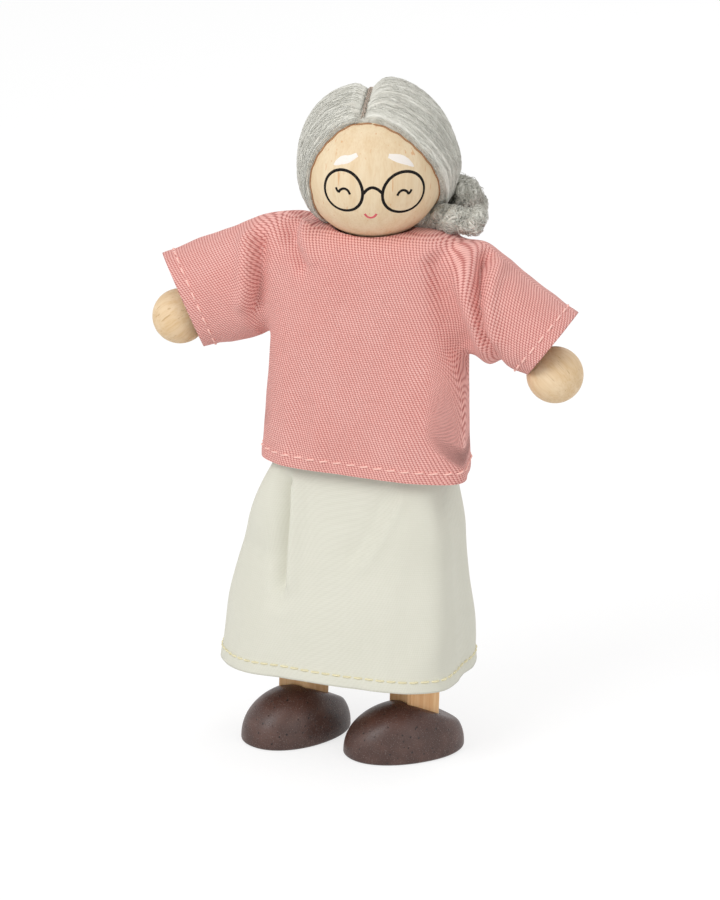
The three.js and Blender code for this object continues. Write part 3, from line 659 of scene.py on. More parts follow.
def through_modifier(shape, kind, **settings):
    """Runs one modifier on a bmesh, in millimetres, and gives the result back as a bmesh."""
    holder = as_object("passing", shape)
    modifier = holder.modifiers.new(kind.lower(), kind)
    for key, value in settings.items():
        setattr(modifier, key, value)
    result = bmesh.new()
    result.from_mesh(final_mesh(holder))
    return result


def ease(value, low, high):
    """0 below low, 1 above high, with a soft start and end."""
    share = min(max((value - low) / (high - low), 0), 1)
    return share * share * (3 - 2 * share)


def mix(first, second, share):
    return first + (second - first) * share


def bump(value, middle, width):
    """A smooth hill, 1 at its middle."""
    return math.exp(-(((value - middle) / width) ** 2))


def smoothed(shape, vertices, times):
    """Draws each point towards its neighbours' middle, some number of times."""
    for k in range(times):
        bmesh.ops.smooth_vert(shape, verts=vertices, factor=0.5, use_axis_x=True,
                              use_axis_y=True, use_axis_z=True)

# %% [markdown]
# The head is a wooden ball, turned on a lathe with a flat under it, where the neck's collar
# sits. So it is modelled as it is made: half of its outline, spun about the upright axis.

# %% Head ball
ball_low, ball_high = node_box("head_ball")
HALF_HEIGHT = 12.9
BALL_RADIUS = (ball_high.x - ball_low.x) / 2
HEAD_MIDDLE = Vector((AXIS.x, AXIS.y, ball_high.z - HALF_HEIGHT))
UNDERSIDE = HEAD_MIDDLE.z - ball_low.z
FLAT_EDGE = 0.5  # rounding where the flat meets the ball

under_latitude = -math.degrees(math.asin((UNDERSIDE - FLAT_EDGE / 2) / HALF_HEIGHT))
ball_arc = round_profile(BALL_RADIUS, HALF_HEIGHT, 0, under_latitude, 90, 44)
ball_profile = [(0, -UNDERSIDE), (ball_arc[0][0] - FLAT_EDGE, -UNDERSIDE)] + ball_arc
ball_profile[-1] = (0, HALF_HEIGHT)
head_shape = turned(ball_profile, 96)
bmesh.ops.translate(head_shape, vec=HEAD_MIDDLE, verts=head_shape.verts)
finished("head_ball_turned", head_shape, "head", face_wood, replaces=["head_ball"])
print("ball radius", round(BALL_RADIUS, 2), "middle", [round(v, 2) for v in HEAD_MIDDLE])

# %% [markdown]
# The face is printed on the ball with a soft pad, so each line follows the wood's curve. Here
# a stroke is a narrow net laid on the ball, a twentieth of a millimetre proud, with its edges
# sunk into the wood. Its points are given as the printer would: degrees across and up.

# %% Printed face
FACE_AZIMUTH = math.radians(20.5)  # the print looks this far towards the doll's left
PRINT_HEIGHT = 0.05
LINE_WIDTH = 0.62


def ball_reach(way):
    """How far the ball's surface is from its middle, in a direction."""
    return 1 / math.sqrt((way.x ** 2 + way.y ** 2) / BALL_RADIUS ** 2
                         + way.z ** 2 / HALF_HEIGHT ** 2)


def on_ball(across, up):
    """The point of the ball at degrees across and up from the middle of the print."""
    around = FACE_AZIMUTH + math.radians(across)
    level = math.cos(math.radians(up))
    way = Vector((level * math.sin(around), -level * math.cos(around), math.sin(math.radians(up))))
    return HEAD_MIDDLE + way * ball_reach(way)


def spline_value(values, place):
    """A smooth value between evenly spaced ones, at a place counted in steps."""
    k = min(int(place), len(values) - 2)
    share = place - k
    a, b, c, d = [values[min(max(k + j, 0), len(values) - 1)] for j in (-1, 0, 1, 2)]
    return 0.5 * (2 * b + (c - a) * share + (2 * a - 5 * b + 4 * c - d) * share ** 2
                  + (3 * b - a - 3 * c + d) * share ** 3)


def smooth_line(points, steps):
    """A smooth curve through points of two numbers, as steps + 1 points."""
    columns = list(zip(*points))
    places = [k / steps * (len(points) - 1) for k in range(steps + 1)]
    return [[spline_value(column, place) for column in columns] for place in places]


def stroke(shape, points, width, closed=False):
    """Lays a line of paint on the ball. width(share) is its width in millimetres."""
    count = len(points) - (1 if closed else 0)
    places = [on_ball(*point) for point in points[:count]]

    def place(across, along):
        k = round(along * count) if closed else round(along * (count - 1))
        here = places[k % count] if closed else places[k]
        before = places[(k - 1) % count] if closed else places[max(k - 1, 0)]
        after = places[(k + 1) % count] if closed else places[min(k + 1, count - 1)]
        outward = (here - HEAD_MIDDLE).normalized()
        aside = outward.cross(after - before).normalized()
        side = 2 * across - 1
        half = width(along) / 2
        lift = PRINT_HEIGHT if abs(side) < 0.9 else -PRINT_HEIGHT / 2
        moved = here + aside * side * half - HEAD_MIDDLE
        return HEAD_MIDDLE + moved.normalized() * (here - HEAD_MIDDLE).length + outward * lift

    wrapped(shape, place, 5, count if closed else count - 1)


def ring_points(across, up, half_width, half_height, steps):
    """Degrees round a lens on the ball, as the printer draws it about a middle."""
    points = []
    for k in range(steps + 1):
        turn = 2 * math.pi * k / steps
        high = up + half_height * math.sin(turn)
        points.append((across + half_width * math.cos(turn) / math.cos(math.radians(high)), high))
    return points


LENS_ACROSS, LENS_UP, LENS_HALF_HEIGHT = 26.1, -7.6, 17.4
LENS_HALF_WIDTH = {"right": 17.0, "left": 18.8}  # the pad presses unevenly
LID = [(19.5, -9.6), (21.2, -6.5), (24.2, -5.2), (27.4, -6.3), (29.6, -8.8)]
LASH = [(29.3, -8.7), (30.9, -7.3), (31.9, -5.1)]
BRIDGE = [(-8.3, -8), (-5, -4.2), (-1, -2.7), (3.4, -4.2), (7, -7.4)]
EYE_FINER, SMILE_FINER = 0.85, 0.8  # their lines are finer than the rim's by these factors
lines = bmesh.new()
for side, way in SIDES.items():
    rim = ring_points(way * LENS_ACROSS, LENS_UP, LENS_HALF_WIDTH[side], LENS_HALF_HEIGHT, 72)
    stroke(lines, rim, lambda share: LINE_WIDTH, closed=True)
    for points, steps in ((LID, 20), (LASH, 6)):
        line = [(way * across, up) for across, up in points]
        stroke(lines, smooth_line(line, steps), lambda share: LINE_WIDTH * EYE_FINER)
stroke(lines, smooth_line(BRIDGE, 20), lambda share: LINE_WIDTH)
finished("printed_glasses_and_eyes", lines, "head", black_ink)

smile = bmesh.new()
smile_line = [(-7.6, -26.7), (-5.3, -29.7), (-2.3, -30.7), (0.9, -29.6), (3.2, -26.3)]
stroke(smile, smooth_line(smile_line, 16), lambda share: LINE_WIDTH * SMILE_FINER)
finished("printed_smile", smile, "head", red_ink)

brows = bmesh.new()
BROWS = {
    "right": [(-15.3, 23.1), (-22.0, 19.0), (-28.5, 17.0), (-35.2, 12.8)],
    "left": [(12.0, 22.9), (18.4, 21.0), (27.3, 18.0), (34.2, 13.2)],
}
BROW_WIDEST = {"right": 0.58, "left": 0.48}  # share of the way from the nose
BROW_START, BROW_WIDTH, BROW_TIP = 0.95, 1.8, 0.2  # millimetres wide
for side, line in BROWS.items():
    widest = BROW_WIDEST[side]
    stroke(brows, smooth_line(line, 30), lambda share: (
        mix(BROW_START, BROW_WIDTH, ease(share, 0, widest)) if share < widest
        else mix(BROW_WIDTH, BROW_TIP, ((share - widest) / (1 - widest)) ** 1.8)))
finished("printed_brows", brows, "head", white_ink)

# %% [markdown]
# The wig is a cap of yarn glued over the ball. Its shape is given by the way out from the
# middle of the ball: an angle from the face's middle, and a turn about it. The hairline is a
# set of such angles, and the cap's thickness grows at the crown, the nape and the full side.

# %% The hair's outer form
FACE_TURN = math.radians(17)  # the wig's middle looks this far towards the doll's left
FACE_TILT = math.radians(5)
# degrees from the face's middle, every 22.5 degrees from the top round to the nape
HAIRLINE_LEFT = [57, 54, 53.3, 57.5, 67.5, 84, 103, 117, 124]
HAIRLINE_RIGHT = [57, 58.5, 56, 56.5, 59.5, 63, 80, 106, 124]
HAIR_THICKNESS = 1.05
CROWN_MORE, LEFT_MORE, NAPE_MORE = 2.65, 1.2, 1.4
TOP_LEFT_MORE, TOP_RIGHT_LESS, SIDE_SWELL = 0.4, 0.5, 0.75
PARTING_ASIDE, PARTING_BEND = -0.073, 0.21  # the parting bends to the doll's right in front
PARTING_DEPTH, PARTING_WIDTH = 1.5, 1.5
RIM_THICKNESS = 0.8
LAST_ANGLE = math.radians(177)

face_way = Vector((0, -math.cos(FACE_TILT), -math.sin(FACE_TILT)))
face_up = Vector((0, face_way.z, -face_way.y))


def hairline_angle(around):
    """The angle of the hairline at a turn from the top, in radians."""
    around = (around + math.pi) % (2 * math.pi) - math.pi
    place = abs(around) / math.pi * 8
    line = HAIRLINE_LEFT if around > 0 else HAIRLINE_RIGHT
    return math.radians(spline_value(line, place))


def way_out(around, angle):
    """A direction in the wig's own frame, where the face looks towards -Y."""
    return (face_way * math.cos(angle) + face_up * (math.sin(angle) * math.cos(around))
            + Vector((math.sin(angle) * math.sin(around), 0, 0)))


def parting_x(way):
    """How far aside the parting lies, as a share of the ball's radius."""
    return PARTING_ASIDE - PARTING_BEND * min(way.y, 0) ** 2


def hair_thickness(way):
    aside = (way.x - parting_x(way)) * BALL_RADIUS
    humps = (TOP_LEFT_MORE * bump(way.x, 0.25, 0.25) - TOP_RIGHT_LESS * bump(way.x, -0.3, 0.25))
    swell = SIDE_SWELL * bump(way.z, 0.1, 0.22) * max(way.x, 0) ** 4
    groove = PARTING_DEPTH * bump(aside, 0, PARTING_WIDTH) * ease(way.z, 0, 0.4)
    return (HAIR_THICKNESS + CROWN_MORE * max(way.z, 0) ** 1.5 + LEFT_MORE * max(way.x, 0)
            + NAPE_MORE * max(way.y, 0) + humps * max(way.z, 0) ** 2 + swell - groove)


def hair_layer(around, angle, way):
    """The thickness of the hair, thinner towards the hairline."""
    line = hairline_angle(around)
    share = (angle - line) / (LAST_ANGLE - line)
    return mix(RIM_THICKNESS, hair_thickness(way), ease(max(share, 0) ** 0.8, -0.05, 0.2))


wig_turn = Matrix.Rotation(FACE_TURN, 3, "Z")


def hair_point(around, angle, lift=0.0):
    """A point on the hair's outer form, lifted off it by some millimetres."""
    way = way_out(around, angle)
    reach = ball_reach(way) + hair_layer(around, angle, way) + lift
    return HEAD_MIDDLE + wig_turn @ (way * reach)


# %% Cap under the strands
RIM_SUNK, CAP_SUNK = 0.3, 0.6  # how far under the hair's outer form its rim and the cap lie
CAP_TUCKED = 0.04  # share of the cap's rows that is tucked into the ball at the hairline
CAP_NET = (128, 50)  # faces round and along


def cap_place(turn_share, along):
    around = 2 * math.pi * turn_share
    line = hairline_angle(around)
    if along < CAP_TUCKED:
        way = way_out(around, line)
        return HEAD_MIDDLE + wig_turn @ (way * (ball_reach(way) - RIM_SUNK))
    share = (along - CAP_TUCKED) / (1 - CAP_TUCKED)
    angle = min(line + (math.pi - line) * share ** 1.2, math.pi)
    sunk = mix(RIM_SUNK, CAP_SUNK, ease(share, 0, 0.15))
    return hair_point(around if share < 0.999 else 0, angle, -sunk)


cap = bmesh.new()
wrapped(cap, cap_place, *CAP_NET)
bmesh.ops.recalc_face_normals(cap, faces=cap.faces)
finished("hair_cap_wool", cap, "head", grey_wool, replaces=["hair_cap"])

# %% [markdown]
# A strand of yarn is a curve with a round bevel, made a mesh. Its ends taper to a point, and
# the points there are merged, so each strand is closed. The bevel gives a map round and along
# the strand for the fibres, and each strand carries a tone, from dark to pale; in the grooves
# the tone is lower, as painted shade.

# %% Yarn as a mesh
TOO_CLOSE = 0.03  # millimetres between two points of a strand


def yarn_mesh(name, strands, radius, sides, surface, body="head"):
    """Makes one piece of strands, each with its points, a width share at each, and a tone."""
    curve = bpy.data.curves.new(name, "CURVE")
    curve.dimensions = "3D"
    curve.bevel_depth = radius * MM
    curve.bevel_resolution = sides
    tones = []
    for path, widths, tone in strands:
        kept = [0]
        for k in range(1, len(path)):
            if (path[k] - path[kept[-1]]).length > TOO_CLOSE:
                kept.append(k)
        spline = curve.splines.new("POLY")
        spline.points.add(len(kept) - 1)
        for point, k in zip(spline.points, kept):
            point.co = (*(path[k] * MM), 1)
            point.radius = widths[k] if 0 < k < kept[-1] else 0
        tones += [tone] * (len(kept) * (4 + 2 * sides))
    data = final_mesh(linked(name, curve))
    bpy.data.curves.remove(curve)
    data.attributes.new("tone", "FLOAT", "POINT").data.foreach_set("value", tones)
    shape = bmesh.new()
    shape.from_mesh(data)
    bmesh.ops.remove_doubles(shape, verts=shape.verts, dist=1e-7)
    bmesh.ops.scale(shape, vec=(1 / MM, 1 / MM, 1 / MM), verts=shape.verts)
    print(name, len(strands), "strands,", sum(len(f.verts) - 2 for f in shape.faces), "triangles")
    return finished(name, shape, body, surface)


# %% [markdown]
# The yarn runs from the parting round each side of the head to the bun, which sits low at the
# doll's left. A strand keeps its share of the way between the hairline and the back of the
# head, so neighbours stay side by side. Deeper grooves part them into bundles, and the strands
# in them are painted darker, as painted shade.

# %% Strands of yarn
PARTING_FRONT, PARTING_BACK = 59, 142  # degrees from the face's middle
BUN_AROUND = math.radians(130)
BUN_ANGLE = math.radians(106)
LEFT_FAR = [140, 158, 168, 160, 120]  # degrees, from the parting to the bun
RIGHT_FAR = [140, 156, 166, 169, 166, 150, 120]
# share of the way from hairline to crown, and depth in millimetres
GROOVES = {"right": [(0.12, 0.12), (0.3, 0.2), (0.47, 0.12), (0.66, 0.2), (0.84, 0.15)],
           "left": [(0.09, 0.3), (0.19, 0.5), (0.3, 0.35), (0.42, 0.6), (0.54, 0.4), (0.68, 0.5),
                    (0.82, 0.35)]}
GROOVE_WIDTH = 0.02
STRANDS = 96
STRAND_RADIUS = 0.36
STRAND_POINTS = 46
STRAND_SIDES = 2  # the curve's bevel resolution
SWAY = 0.007  # how far a strand sways as it runs, in radians
random.seed(7)


def parting_start(degrees_back):
    """Where a strand leaves the parting: its turn and its angle."""
    way = way_out(0, math.radians(degrees_back))
    way.x = parting_x(way)
    way.normalize()
    return math.atan2(way.x, way.dot(face_up)), math.acos(way.dot(face_way))


def strand_point(side, share, t, lift):
    """A point of a strand: share counts from hairline to crown, t from parting to bun."""
    far = LEFT_FAR if side == "left" else RIGHT_FAR
    whole = BUN_AROUND if side == "left" else BUN_AROUND - 2 * math.pi
    start_around, start_angle = parting_start(mix(PARTING_FRONT, PARTING_BACK, share))
    around = mix(start_around, whole, t)
    near = hairline_angle(around) + math.radians(1.5 + 4 * ease(t, 0.7, 1))
    back = math.radians(spline_value(far, t * (len(far) - 1)))
    angle = mix(start_angle, mix(near, back, share), ease(t, 0, 0.18))
    angle = mix(angle, BUN_ANGLE + (share - 0.5) * 0.12, ease(t, 0.82, 1.0))
    sway = math.sin(t * 9 + share * 40) + 0.4 * math.sin(t * 23 + share * 91)
    angle += SWAY * sway * ease(t, 0.05, 0.2)
    return hair_point(around, angle, lift - 0.5 * (1 - ease(t, 0, 0.05)))


def groove_at(side, share, t):
    """How deep the hair is parted here, in millimetres."""
    deepest = 0
    for k, (middle, depth) in enumerate(GROOVES[side]):
        drift = middle + 0.02 * math.sin(5 * t + 2.1 * k)
        fade = 0.55 + 0.45 * math.sin(4.3 * t + 1.7 * k)
        deepest = max(deepest, depth * fade * bump(share, drift, GROOVE_WIDTH))
    return deepest


for side in SIDES:
    strands = []
    for k in range(STRANDS):
        share = (k + 0.5 + random.uniform(-0.3, 0.3)) / STRANDS
        raised, phase = random.uniform(-0.46, -0.34), random.uniform(0, 6)
        path = []
        for j in range(STRAND_POINTS):
            t = j / (STRAND_POINTS - 1)
            lift = raised + 0.05 * math.sin(7 * t + phase) - groove_at(side, share, t)
            path.append(strand_point(side, share, t, lift))
        thick = random.uniform(0.85, 1.25)
        # painted shade: a strand's tone falls with the depth of its groove
        tone = random.uniform(0.4, 0.85) - 0.6 * groove_at(side, share, 0.3)
        strands.append((path, [thick] * STRAND_POINTS, tone))
    yarn_mesh(f"yarn_{side}", strands, STRAND_RADIUS, STRAND_SIDES, grey_wool)

# %% Combed fibres over the yarn
FIBRES = 2500
FIBRE_RADIUS = 0.06
FIBRE_POINTS = 9


def fibre_widths(count):
    return [0.45 + 0.55 * math.sin(math.pi * (j + 0.5) / count) for j in range(count)]


for side in SIDES:
    strands = []
    for k in range(FIBRES):
        share = random.uniform(-0.01, 1)
        run = random.uniform(0.06, 0.2)
        start = random.uniform(0.0, 1 - run)
        drift = random.uniform(-0.014, 0.014)
        out, curl = random.uniform(-0.06, 0.06), random.uniform(0, 6)
        path = []
        for j in range(FIBRE_POINTS):
            t = start + run * j / (FIBRE_POINTS - 1)
            here = share + drift * j / FIBRE_POINTS + 0.004 * math.sin(1.6 * j + curl)
            lift = out + 0.05 * math.sin(1.1 * j + 2 * curl) - groove_at(side, here, t)
            path.append(strand_point(side, here, t, lift))
        tone = random.choice((0.25, 0.5, 0.65, 0.8, 0.95)) + random.uniform(-0.1, 0.1)
        strands.append((path, fibre_widths(FIBRE_POINTS), tone))
    yarn_mesh(f"combed_fibres_{side}", strands, FIBRE_RADIUS, 0, grey_wool)

# %% [markdown]
# Along the hairline a thin brown line stands for the glue that dried there and for the shadow
# of the cap's rim on the wood, so it is in part a painted shadow, and short fibres lean over
# it. On top, brown thread holds the yarn down in the parting, in slanting pairs of stitches
# that meet in the middle like a herringbone.

# %% Hairline and parting
# partly painted shadow: this brown line stands for dried glue and for the cap rim's shadow
EDGE_STEPS, EDGE_RADIUS = 180, 0.17
edge = []
for k in range(EDGE_STEPS + 1):
    around = 2 * math.pi * k / EDGE_STEPS
    before = math.radians(0.9 + 0.4 * math.sin(23 * around))
    way = way_out(around, hairline_angle(around) - before)
    edge.append(HEAD_MIDDLE + wig_turn @ (way * (ball_reach(way) + 0.03)))
yarn_mesh("hairline_edge", [(edge, [1] * len(edge), 0.5)], EDGE_RADIUS, 1, edge_thread)

HAIRLINE_FIBRES, HAIRLINE_POINTS = 700, 6
strands = []
for k in range(HAIRLINE_FIBRES):
    around = random.uniform(-math.pi, math.pi)
    lean, run = random.uniform(-0.05, 0.12), random.uniform(0.03, 0.09)
    out = random.uniform(0, 0.4)
    way = 1 if around > parting_start(PARTING_FRONT)[0] else -1
    path = []
    for j in range(HAIRLINE_POINTS):
        share = j / (HAIRLINE_POINTS - 1)
        angle = hairline_angle(around) + math.radians(3.2) - 0.7 * lean * share
        lift = -0.25 + 0.25 * math.sin(0.9 * j + k) - out * j / HAIRLINE_POINTS
        path.append(hair_point(around + way * run * share, angle, lift))
    strands.append((path, fibre_widths(HAIRLINE_POINTS), random.uniform(0.4, 1)))
yarn_mesh("hairline_fibres", strands, FIBRE_RADIUS * 0.8, 0, grey_wool)

STITCH_PAIRS = 19
STITCH_STEP = 4.1  # degrees of the ball
STITCH_HALF = 0.3  # millimetres to each side of the parting
STITCH_POINTS = 7
PARTING_THREAD = 0.11  # radius
strands = []
for k in range(STITCH_PAIRS):
    for way in (-1, 1):
        path = []
        for j in range(STITCH_POINTS):
            share = j / (STITCH_POINTS - 1)
            degrees_back = PARTING_FRONT + 0.5 + STITCH_STEP * (k + 1.5 * share)
            around, angle = parting_start(degrees_back)
            aside = way * STITCH_HALF * (1 - 2 * share + 0.35)
            around += aside / (BALL_RADIUS + 2) / math.sin(angle)
            path.append(hair_point(around, angle, -0.42 + 0.3 * math.sin(math.pi * share)))
        strands.append((path, [1] * STITCH_POINTS, random.uniform(0.3, 0.8)))
yarn_mesh("parting_stitches", strands, PARTING_THREAD, 1, brown_thread)
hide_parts("parting_stitch")

# %% [markdown]
# The bun is yarn wound loosely and left to curl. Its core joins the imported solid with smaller
# puffs that rest along the shoulder. The core is made lumpy, and over it lie curly strands
# and then fine stray fibres. Each is laid step by step on the nearest point of the core.

# %% Bun
BUN_PUFFS = [  # across, back and up from the doll's axis, and radius
    (9.6, 3.2, 103.9, 2.3), (12.6, 2.6, 104.2, 2.7), (16.0, 2.2, 104.8, 2.9),
    (19.0, 2.4, 104.8, 2.9),
]
BUN_SHRINK, BUN_LUMPS = 0.9, 1.5  # the core shrinks under its curls, and is made lumpy

bun_core = bmesh.new()
bun_core.from_mesh(frame["nodes"]["hair_bun"].data)
bmesh.ops.scale(bun_core, vec=(1 / MM, 1 / MM, 1 / MM), verts=bun_core.verts)
bmesh.ops.remove_doubles(bun_core, verts=bun_core.verts, dist=1e-3)
for x, y, z, radius in BUN_PUFFS:
    bmesh.ops.create_icosphere(bun_core, subdivisions=3, radius=radius,
                               matrix=Matrix.Translation(AXIS + Vector((x, y, z))))
bun_core = through_modifier(bun_core, "REMESH", mode="VOXEL", voxel_size=0.4)
smoothed(bun_core, bun_core.verts, 5)
bun_core.normal_update()
for vertex in bun_core.verts:
    lump = noise.noise(vertex.co * 0.36) + 0.25 * noise.noise(vertex.co * 0.8)
    vertex.co += vertex.normal * (BUN_LUMPS * lump - BUN_SHRINK)
smoothed(bun_core, bun_core.verts, 2)
bun_tree = BVHTree.FromBMesh(bun_core)
bun_points = [vertex.co.copy() for vertex in bun_core.verts]
bun_normals = [vertex.normal.copy() for vertex in bun_core.verts]
finished("hair_bun_core", bun_core, "head", grey_wool, replaces=["hair_bun"])


def curl_on_bun(steps, step, twist, lift, ripple):
    """A strand that wanders over the core from a random point, turning as it goes."""
    start = random.randrange(len(bun_points))
    place, outward = bun_points[start], bun_normals[start]
    run = outward.orthogonal().normalized()
    run = Matrix.Rotation(random.uniform(0, 2 * math.pi), 3, outward) @ run
    bend = random.uniform(-twist, twist)
    phase = random.uniform(0, 2 * math.pi)
    path = []
    for j in range(steps):
        run = Matrix.Rotation(bend + ripple * math.sin(1.3 * j + phase), 3, outward) @ run
        place, outward = bun_tree.find_nearest(place + run * step)[:2]
        run = (run - outward * run.dot(outward)).normalized()
        path.append(place + outward * (lift + 0.6 * lift * math.sin(0.9 * j + 2 * phase)))
    return path


CURLS, CURL_POINTS, CURL_RADIUS = 330, 30, 0.27
STRAYS, STRAY_POINTS = 2900, 9
CURL_STEP = 0.4  # millimetres from point to point
curls, strays = [], []
for k in range(CURLS):
    path = curl_on_bun(CURL_POINTS, CURL_STEP, 0.16, random.uniform(0.0, 0.3), 0.3)
    thick = random.uniform(0.7, 1.3)
    curls.append((path, [thick] * CURL_POINTS, random.uniform(0.45, 0.9)))
yarn_mesh("hair_bun_curls", curls, CURL_RADIUS, 1, grey_wool)
for k in range(STRAYS):
    path = curl_on_bun(STRAY_POINTS, CURL_STEP, 0.3, random.uniform(0.2, 0.75), 0.5)
    strays.append((path, fibre_widths(STRAY_POINTS), random.uniform(0.4, 1.0)))
yarn_mesh("hair_bun_fibres", strays, FIBRE_RADIUS, 0, grey_wool)

# %% [markdown]
# The top is cut like a T: the front and the back each carry half of both sleeves, so the weave
# runs on from the body into the sleeves. It is modelled as closed tubes that overlap, which a
# voxel remesh makes one skin. Then it is smoothed at the armpits, pushed into folds, and cut
# open at the hem, the neck and the cuffs, before the cloth gets its thickness.

# %% Body of the top
shirt_low, shirt_high = node_box("shirt_body")
SHIRT_HEM = shirt_low.z
SHIRT_TOP = shirt_high.z
SHIRT_LENGTH = SHIRT_TOP - SHIRT_HEM
HEM_HALF = (19.4, 12.0)  # half width and half depth at the hem
SHOULDER_HALF = (18.0, 9.6)
SHOULDER_ROUND = 6.0  # height of the rounded shoulder
SHOULDER_DRAW = (3.6, 6.2)  # how far it draws in at the sides and in front
BODY_SQUARENESS, LEFT_SQUARE = 3.2, 4.0
BELOW_HEM = 3.0  # the tube is longer than the top, and is cut at the hem
HEM_TRIM = 0.3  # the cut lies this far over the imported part's hem
CLOTH = 0.4  # thickness
TOP_SHARE = 0.86  # of the tube's rows, where the closing over the shoulders starts


def squared(turn, half_width, half_depth, squareness):
    """A point of an outline with rounded corners: squareness 2 is an ellipse."""
    def reach(part):
        return math.copysign(abs(part) ** (2 / squareness), part)
    return half_width * reach(math.cos(turn)), half_depth * reach(math.sin(turn))


SIDE_FLAT, SIDE_FORWARD = 0.9, -1.0  # the left side seam lies a little forward
SIDE_SLANT, SIDE_WIDER = 0.24, 4.2  # and the cloth stands out there, most of all in front
SIDE_BEND = 2.5  # the higher, the later the cloth bends towards that seam
SIDE_HELD, SIDE_FREE = 14, 32  # heights over the hem between which this fades out


def side_seam(x, y, half_width, held):
    """Draws the doll's left side of the body outward and forward, by a share held."""
    share = max(x / half_width, 0) ** SIDE_BEND * held if half_width > 1 else 0
    y = mix(y, SIDE_FORWARD + SIDE_FLAT * y, share)
    slant = SIDE_SLANT * (y - SIDE_FORWARD + SIDE_FLAT * HEM_HALF[1])
    return x + share * (SIDE_WIDER - slant), y


def shirt_place(turn_share, along):
    turn = 2 * math.pi * turn_share
    height = -BELOW_HEM + (SHIRT_LENGTH + BELOW_HEM) * min(along / TOP_SHARE, 1)
    straight = SHIRT_LENGTH - SHOULDER_ROUND
    rise = max(height - straight, 0) / SHOULDER_ROUND
    share = max(height, 0) / SHIRT_LENGTH
    draw = 1 - math.sqrt(max(1 - rise ** 2, 0))
    half_width = mix(HEM_HALF[0], SHOULDER_HALF[0], ease(share, 0, 0.9)) - SHOULDER_DRAW[0] * draw
    half_depth = mix(HEM_HALF[1], SHOULDER_HALF[1], share) - SHOULDER_DRAW[1] * draw
    closing = 1 - max(along - TOP_SHARE, 0) / (1 - TOP_SHARE)
    squareness = mix(BODY_SQUARENESS, LEFT_SQUARE, ease(math.cos(turn), 0, 0.7))
    x, y = squared(turn, half_width * closing, half_depth * closing, squareness)
    x, y = side_seam(x, y, half_width * closing, 1 - ease(height, SIDE_HELD, SIDE_FREE))
    return AXIS + Vector((x, y, SHIRT_HEM + height))


# %% [markdown]
# The sleeves stand out as the arms do. Each has its own slope, and its cuff is cut askew: the
# doll's right cuff faces a little forwards, and the left one a little back.

# %% Sleeves
SLEEVES = {
    "right": {"cuff": (38.0, 83.6), "degrees": 27, "cuff_half": (9.7, 6.4),
              "armhole": (21.0, 90.9), "armhole_half": (11.3, 8.8), "askew": -0.47,
              "sag": 0.2, "tuck_rise": 4.0, "slope": 33.6},
    "left": {"cuff": (36.2, 83.9), "degrees": 36, "cuff_half": (7.1, 7.4),
             "armhole": (21.2, 90.8), "armhole_half": (10.7, 8.6), "askew": 0.1,
             "sag": 0.7, "tuck_rise": 2.3, "slope": 40.1},
}
ARMHOLE_TILT = math.radians(4)
TUCK = 7.3  # a sleeve's tube starts this far inside the body
PAST_CUFF = 1.3
SLEEVE_SQUARENESS = 2.2


class Sleeve:
    """The middle line and the sections of one sleeve, from inside the body to the cuff."""

    def __init__(self, side):
        self.facts = SLEEVES[side]
        self.way = SIDES[side]
        self.start = Vector(self.facts["armhole"])
        self.end = Vector(self.facts["cuff"])
        self.length = (self.end - self.start).length
        self.tilt = math.radians(self.facts["degrees"])
        out = Vector((math.cos(self.tilt), -math.sin(self.tilt)))
        self.cuff_way = Vector((self.way * out.x, self.facts["askew"], out.y)).normalized()
        self.cuff_middle = AXIS + Vector((self.way * self.end.x, 0, self.end.y))
        self.out_way = Vector((self.way * out.x, 0, out.y))

    def section(self, share):
        """Middle (out, z), tilt, half height and half depth at a share of the length."""
        high, deep = self.facts["armhole_half"]
        if share < 0:
            narrow = 1 + 0.2 * share
            inner = self.start + Vector((TUCK, -self.facts["tuck_rise"])) * share
            return inner, ARMHOLE_TILT * (1 + share), high * narrow, deep * narrow
        over = (self.start + self.end) / 2 - Vector((0, self.facts["sag"]))
        held = min(share, 1)
        middle = (self.start * (1 - held) ** 2 + over * (2 * held * (1 - held))
                  + self.end * held ** 2)
        tilt = mix(ARMHOLE_TILT, self.tilt, held)
        if share > 1:
            beyond = (share - 1) * self.length
            middle = middle + Vector((math.cos(tilt), -math.sin(tilt))) * beyond
        cuff_high, cuff_deep = self.facts["cuff_half"]
        return middle, tilt, mix(high, cuff_high, held), mix(deep, cuff_deep, held)

    def point(self, turn, share):
        middle, tilt, half_height, half_depth = self.section(share)
        flat, high = squared(turn, half_depth, half_height, SLEEVE_SQUARENESS)
        return AXIS + Vector((
            self.way * (middle.x + high * math.sin(tilt)),
            flat,
            middle.y + high * math.cos(tilt),
        ))


sleeves = {side: Sleeve(side) for side in SIDES}

# %% One skin
BODY_NET, SLEEVE_NET = (96, 60), (64, 30)  # faces round and along
VOXEL = 0.55
ARMPIT_FROM, ARMPIT_TO = 13, 26  # millimetres out, between which the join is smoothed more

garment = bmesh.new()
wrapped(garment, shirt_place, *BODY_NET)
for sleeve in sleeves.values():
    wrapped(garment, lambda turn_share, along: sleeve.point(
        2 * math.pi * turn_share, mix(-1, PAST_CUFF, along)), *SLEEVE_NET)
close_ends(garment)
garment = through_modifier(garment, "REMESH", mode="VOXEL", voxel_size=VOXEL)
smoothed(garment, garment.verts, 8)
smoothed(garment, [v for v in garment.verts
                   if ARMPIT_FROM < abs(v.co.x - AXIS.x) < ARMPIT_TO], 16)
print("top after the remesh:", len(garment.verts), "points")

# %% [markdown]
# A fold is a line on the front or the back of the top, given as points across and up from the
# doll's axis. Near the line the cloth is pushed in, and beside it a ridge stands out. Broad
# shallow folds come from slow noise, which gives the cloth its hand.

